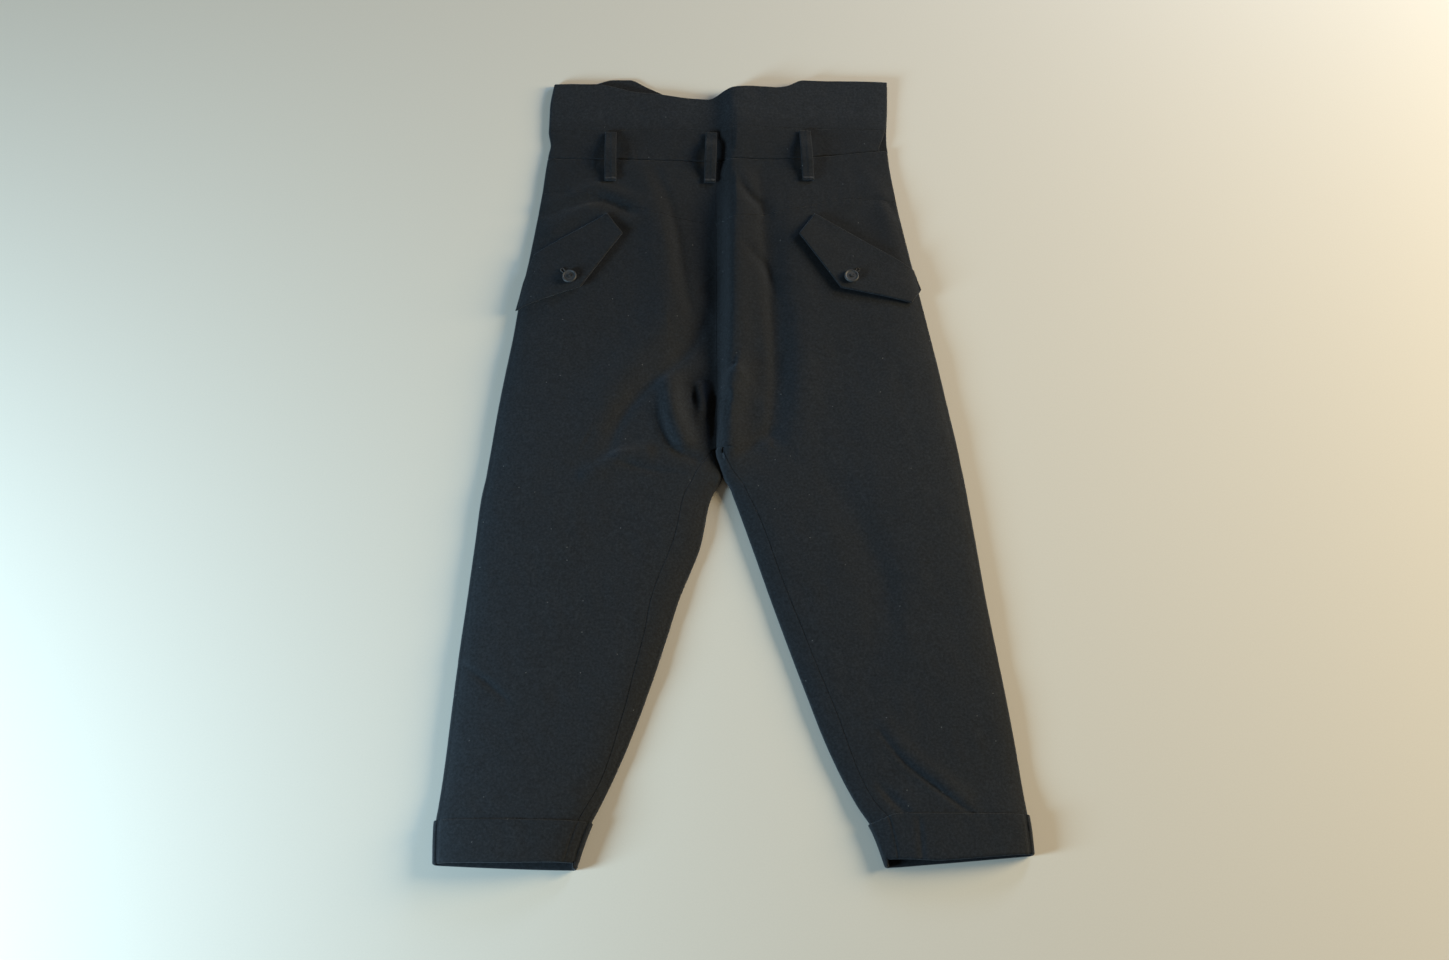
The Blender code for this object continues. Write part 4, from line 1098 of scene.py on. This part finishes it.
def flap_frame(flap, along, across):
    """The flap's point there, with its normal and two directions in its face."""
    a, b, step = np.array(along), np.array(across), 0.01
    normal = np.cross(flap_point(flap, a + step, b) - flap_point(flap, a - step, b),
                      flap_point(flap, a, b + step) - flap_point(flap, a, b - step))
    normal = unit(normal * np.sign(normal[2]))
    side = unit(np.cross((0, 1, 0), normal))
    return flap_point(flap, a, b), side, np.cross(normal, side), normal


def make_flaps():
    along, across = (spaced(0, 1, size, step) for size, step in zip(FLAP_SIZE, FLAP_STEPS))
    along[np.argmin(np.abs(along - FLAP_CORNER))] = FLAP_CORNER
    for flap in FLAPS:
        dress(wall(f"{flap.name}_cloth", partial(flap_point, flap), along, across, FLAP_CLOTH,
                   Rounded(*[FLAP_EDGE] * 4)), flap.name)


def make_buttons():
    """A turned disc with a raised rim, a groove and a dished face, bored with four holes.

    Each ring of points is a circle of the section's radius and height over the flap. Two
    strands of thread cross over the holes and dip steeply into them at their ends.
    """
    turn = np.arange(BUTTON_SIDES) * 2 * np.pi / BUTTON_SIDES
    hole_turn = np.arange(HOLE_SIDES) * 2 * np.pi / HOLE_SIDES
    s = np.linspace(-1, 1, 25)
    for flap, along, across in zip(FLAPS, BUTTON_ALONG, BUTTON_ACROSS):
        seat, *axes = flap_frame(flap, along, across)
        seat = seat + axes[2] * (FLAP_CLOTH / 2 + BUTTON_CLEARANCE)

        def place(*offsets, seat=seat, axes=axes):
            """Points over the flap: so far to the side, up and outwards from the button's seat."""
            return seat + sum(np.multiply.outer(offset, axis) for offset, axis in zip(offsets, axes))

        rings = []
        for inset, height in BUTTON_SECTION:
            a = BUTTON_RADIUS - inset
            rings.append(place(a * np.cos(turn), a * np.sin(turn), np.full(BUTTON_SIDES, height)))
        node = flap.name.replace("flap", "button")
        disc = closed_rings(f"{node}_disc", np.stack(rings), button_plastic())
        holes = []
        for k in range(4):
            centre = np.pi / 4 + k * np.pi / 2
            u = BUTTON_HOLE_RING * np.cos(centre) + BUTTON_HOLE * np.cos(hole_turn)
            v = BUTTON_HOLE_RING * np.sin(centre) + BUTTON_HOLE * np.sin(hole_turn)
            rings = np.stack([place(u, v, np.full(HOLE_SIDES, h)) for h in HOLE_ENDS])
            holes.append(closed_rings(f"{node}_hole_{k}", rings, button_plastic()))
        bore(disc, holes)
        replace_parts(join(disc), node)
        dip = 0.9 * np.abs(s) ** 6 + 1.6 * np.maximum(np.abs(s) - 0.92, 0) / 0.08
        for k, way in enumerate((1, -1)):
            run = s * STRAND_REACH
            strand = place(run, run * way, BUTTON_FACE + STRAND_RISE - dip + STRAND_OVER * k)
            join(tube(f"{node}_thread_{k}", strand, STRAND_RADIUS, 8))


def bore(disc, cutters):
    """Cuts the cutters out of the disc and removes them."""
    for cutter in cutters:
        cut = disc.modifiers.new(cutter.name, "BOOLEAN")
        cut.operation = "DIFFERENCE"
        cut.solver = "EXACT"
        cut.object = cutter
    evaluated = disc.evaluated_get(bpy.context.evaluated_depsgraph_get())
    mesh = bpy.data.meshes.new_from_object(evaluated)
    disc.modifiers.clear()
    disc.data = mesh
    mesh.shade_smooth()
    mesh.set_sharp_from_angle(angle=math.radians(50))
    for cutter in cutters:
        bpy.data.objects.remove(cutter)


# Buttonholes: how far each runs from the button's middle, its half width, and its direction
BUTTONHOLE_START = -5.5
BUTTONHOLE_END = 13.5
BUTTONHOLE_HALF = 1.25
BUTTONHOLE_TURN = (132.0, 52.0)
BEAD_STITCHES = 60
BEAD_RADIUS = 0.62
BEAD_RIPPLE = 0.10
BEAD_CLEARANCE = 0.1


def make_buttonholes():
    """A worked slit: a raised bead of close stitches runs round it, wider at its outer eye.

    The run is a cosine and the width a sine, both blunted by a power so that the sides are
    straight and the ends square. The bead's radius ripples as a sine, once for each stitch.
    """
    for flap, along, across, degrees in zip(FLAPS, BUTTON_ALONG, BUTTON_ACROSS, BUTTONHOLE_TURN):
        seat, side, up, _ = flap_frame(flap, along, across)
        way = math.radians(degrees)
        direction = side * math.cos(way) + up * math.sin(way)
        aside = -side * math.sin(way) + up * math.cos(way)
        bend = 2 * np.pi * np.linspace(0, 1, 241)[:-1]
        middle = (BUTTONHOLE_START + BUTTONHOLE_END) / 2
        run = middle + (BUTTONHOLE_END - middle) * np.sign(np.cos(bend)) * np.abs(np.cos(bend)) ** 0.7
        eye = 1 + 0.5 * np.exp(-(((run - BUTTONHOLE_END + 1.5) / 2.0) ** 2))
        off = BUTTONHOLE_HALF * eye * np.sign(np.sin(bend)) * np.abs(np.sin(bend)) ** 0.35
        path = seat + np.multiply.outer(run, direction) + np.multiply.outer(off, aside)
        path = np.concatenate([path, path[:1]]) + (0, 0, FLAP_CLOTH / 2 + BEAD_CLEARANCE)
        ripple = BEAD_RADIUS + BEAD_RIPPLE * np.sin(2 * np.pi * BEAD_STITCHES * np.linspace(0, 1, len(path)))
        join(tube(flap.name.replace("flap", "buttonhole"), path, ripple, 10))


# Stage

Lamp = namedtuple("Lamp", "name place size power colour")
LAMPS = (
    Lamp("left_lamp", (-1.50, -0.74, 0.50), 0.5, 37.0, (0.60, 0.85, 1.0)),
    Lamp("upper_lamp", (1.20, 1.45, 0.62), 0.5, 14.0, (0.50, 0.70, 1.0)),
    Lamp("right_lamp", (2.60, 0.55, 0.90), 1.15, 97.0, (1.0, 0.78, 0.47)),
)
SKY_COLOUR = (1.0, 0.85, 0.65)
SKY_POWER = 0.085
CAMERA_LENS = 42.53
CAMERA_SENSOR = 36.0
CAMERA_TILT = 24.0
CAMERA_DISTANCE = 1.686
FLOOR_HALF = 4.0


def make_lamp(lamp):
    light = bpy.data.lights.new(lamp.name, "AREA")
    light.shape = "DISK"
    light.size = lamp.size
    light.energy = lamp.power * bpy.context.scene.breeches_stage.light_power
    light.color = lamp.colour
    made = bpy.data.objects.new(lamp.name, light)
    made.visible_camera = False
    bpy.context.scene.collection.objects.link(made)
    made.location = lamp.place
    x, y, z = lamp.place
    made.rotation_euler = (math.atan2(math.hypot(x, y), z), 0, math.atan2(-y, -x) - math.pi / 2)


def make_stage():
    """A plain pale floor, soft lamps, an even sky and the camera."""
    scene = bpy.context.scene
    corners = [(x * FLOOR_HALF, y * FLOOR_HALF, 0) for x, y in ((-1, -1), (1, -1), (1, 1), (-1, 1))]
    mesh = bpy.data.meshes.new("floor")
    mesh.from_pydata(corners, [], [(0, 1, 2, 3)])
    mesh.materials.append(pale_floor())
    floor = bpy.data.objects.new("floor", mesh)
    scene.collection.objects.link(floor)
    for lamp in LAMPS:
        make_lamp(lamp)
    world = bpy.data.worlds.new("sky")
    world.use_nodes = True
    sky = world.node_tree.nodes["Background"].inputs
    sky[0].default_value, sky[1].default_value = (*SKY_COLOUR, 1), SKY_POWER
    scene.world = world
    scene.view_settings.view_transform = "Standard"
    data = bpy.data.cameras.new("camera")
    data.lens = CAMERA_LENS
    data.sensor_width = CAMERA_SENSOR
    camera = bpy.data.objects.new("camera", data)
    scene.collection.objects.link(camera)
    tilt = math.radians(CAMERA_TILT)
    camera.location = (-CENTRE_X * MM, -CENTRE_Y * MM - CAMERA_DISTANCE * math.sin(tilt),
                       CAMERA_DISTANCE * math.cos(tilt))
    camera.rotation_euler = (tilt, 0, 0)
    scene.camera = camera


# Add-on

def colour(name, description, value):
    return FloatVectorProperty(name=name, description=description, subtype="COLOR", size=3,
                               min=0, max=1, default=value)


def length(name, description, value, least):
    return FloatProperty(name=name, description=description, unit="LENGTH", default=value, min=least)


class BreechesClothSettings(bpy.types.PropertyGroup):
    """What the wool looks like and how finely it is built."""

    wool_colour: colour("Wool Colour", "Colour of the ground yarns", (0.0092, 0.0120, 0.0162))
    fibre_colour: colour("Fibre Colour", "Colour of the raised fibres", (0.0160, 0.0200, 0.0250))
    lint_colour: colour("Lint Colour", "Colour of the few pale specks", (0.16, 0.17, 0.18))
    lint_density: FloatProperty(
        name="Lint Density", description="Cells per metre that a speck may fall in", default=60.0, min=0)
    weave_pitch: length("Weave Pitch", "Distance between two ribs of the twill", 0.0011, 0.0002)
    nap_depth: length("Nap Depth", "Height of the raised fibres", 0.00045, 0)
    nap_strength: FloatProperty(
        name="Nap Strength", description="How strongly the nap catches light", subtype="FACTOR",
        default=0.55, min=0, max=1)
    crease_depth: FloatProperty(
        name="Crease Depth", description="Share of the fine creases' full depth", subtype="FACTOR",
        default=1.0, min=0, max=2)
    mesh_step: length("Mesh Step", "Distance between two points of the cloth's mesh", 0.0021, 0.001)


class BreechesTrimSettings(bpy.types.PropertyGroup):
    """Colours of the buttons and their thread."""

    button_colour: colour("Button Colour", "Colour of the moulded buttons", (0.042, 0.046, 0.052))
    thread_colour: colour("Thread Colour", "Colour of the sewing thread", (0.028, 0.031, 0.036))


class BreechesStageSettings(bpy.types.PropertyGroup):
    """The floor and the lamps."""

    floor_colour: colour("Floor Colour", "Colour of the plain floor", (0.76, 0.75, 0.69))
    light_power: FloatProperty(
        name="Light Power", description="Multiplies the power of every lamp", default=1.0, min=0)


class BREECHES_OT_back_panels(bpy.types.Operator):
    """Makes the back of both legs and the yoke above them"""

    bl_idname = "breeches.back_panels"
    bl_label = "Back Legs and Yoke"

    def execute(self, context):
        for side in (-1, 1):
            make_back(side)
        return {"FINISHED"}


class BREECHES_OT_front_panels(bpy.types.Operator):
    """Makes the front of both legs, which lies underneath"""

    bl_idname = "breeches.front_panels"
    bl_label = "Front Legs"

    def execute(self, context):
        for side in (-1, 1):
            make_front(side)
        return {"FINISHED"}


class BREECHES_OT_bands(bpy.types.Operator):
    """Makes the waistband and the tall band above it, back and front"""

    bl_idname = "breeches.bands"
    bl_label = "Bands"

    def execute(self, context):
        make_bands()
        return {"FINISHED"}


class BREECHES_OT_cuffs(bpy.types.Operator):
    """Makes the turn-up of both legs"""

    bl_idname = "breeches.cuffs"
    bl_label = "Turn-ups"

    def execute(self, context):
        for side in (-1, 1):
            make_cuff(side)
        return {"FINISHED"}


class BREECHES_OT_belt_loops(bpy.types.Operator):
    """Makes the belt loops with their bars of stitches"""

    bl_idname = "breeches.belt_loops"
    bl_label = "Belt Loops"

    def execute(self, context):
        make_belt_loops()
        return {"FINISHED"}


class BREECHES_OT_flaps(bpy.types.Operator):
    """Makes the pocket flaps and their buttonholes"""

    bl_idname = "breeches.flaps"
    bl_label = "Pocket Flaps"

    def execute(self, context):
        make_flaps()
        make_buttonholes()
        return {"FINISHED"}


class BREECHES_OT_buttons(bpy.types.Operator):
    """Makes the buttons and the thread that holds them"""

    bl_idname = "breeches.buttons"
    bl_label = "Buttons"

    def execute(self, context):
        make_buttons()
        return {"FINISHED"}


class BREECHES_OT_stage(bpy.types.Operator):
    """Makes the floor, the lamps and the camera"""

    bl_idname = "breeches.stage"
    bl_label = "Stage"

    def execute(self, context):
        make_stage()
        return {"FINISHED"}


OPERATORS = (
    BREECHES_OT_back_panels,
    BREECHES_OT_front_panels,
    BREECHES_OT_bands,
    BREECHES_OT_cuffs,
    BREECHES_OT_belt_loops,
    BREECHES_OT_flaps,
    BREECHES_OT_buttons,
    BREECHES_OT_stage,
)


class BREECHES_PT_panel(bpy.types.Panel):
    """Lists the settings and the operators"""

    bl_label = "Breeches"
    bl_idname = "BREECHES_PT_panel"
    bl_space_type = "VIEW_3D"
    bl_region_type = "UI"
    bl_category = "Breeches"

    def draw(self, context):
        for group in SETTINGS:
            settings = getattr(context.scene, group)
            for name in settings.bl_rna.properties.keys():
                if name not in ("rna_type", "name"):
                    self.layout.prop(settings, name)
        for operator in OPERATORS:
            self.layout.operator(operator.bl_idname)


SETTINGS = {
    "breeches_cloth": BreechesClothSettings,
    "breeches_trim": BreechesTrimSettings,
    "breeches_stage": BreechesStageSettings,
}


def register():
    for made in (*SETTINGS.values(), *OPERATORS, BREECHES_PT_panel):
        bpy.utils.register_class(made)
    for name, group in SETTINGS.items():
        setattr(bpy.types.Scene, name, PointerProperty(type=group))


def unregister():
    for name in SETTINGS:
        delattr(bpy.types.Scene, name)
    for made in (BREECHES_PT_panel, *reversed(OPERATORS), *reversed(SETTINGS.values())):
        bpy.utils.unregister_class(made)


def main():
    register()
    for operator in OPERATORS:
        group, name = operator.bl_idname.split(".")
        getattr(getattr(bpy.ops, group), name)()


if __name__ == "__main__":
    main()
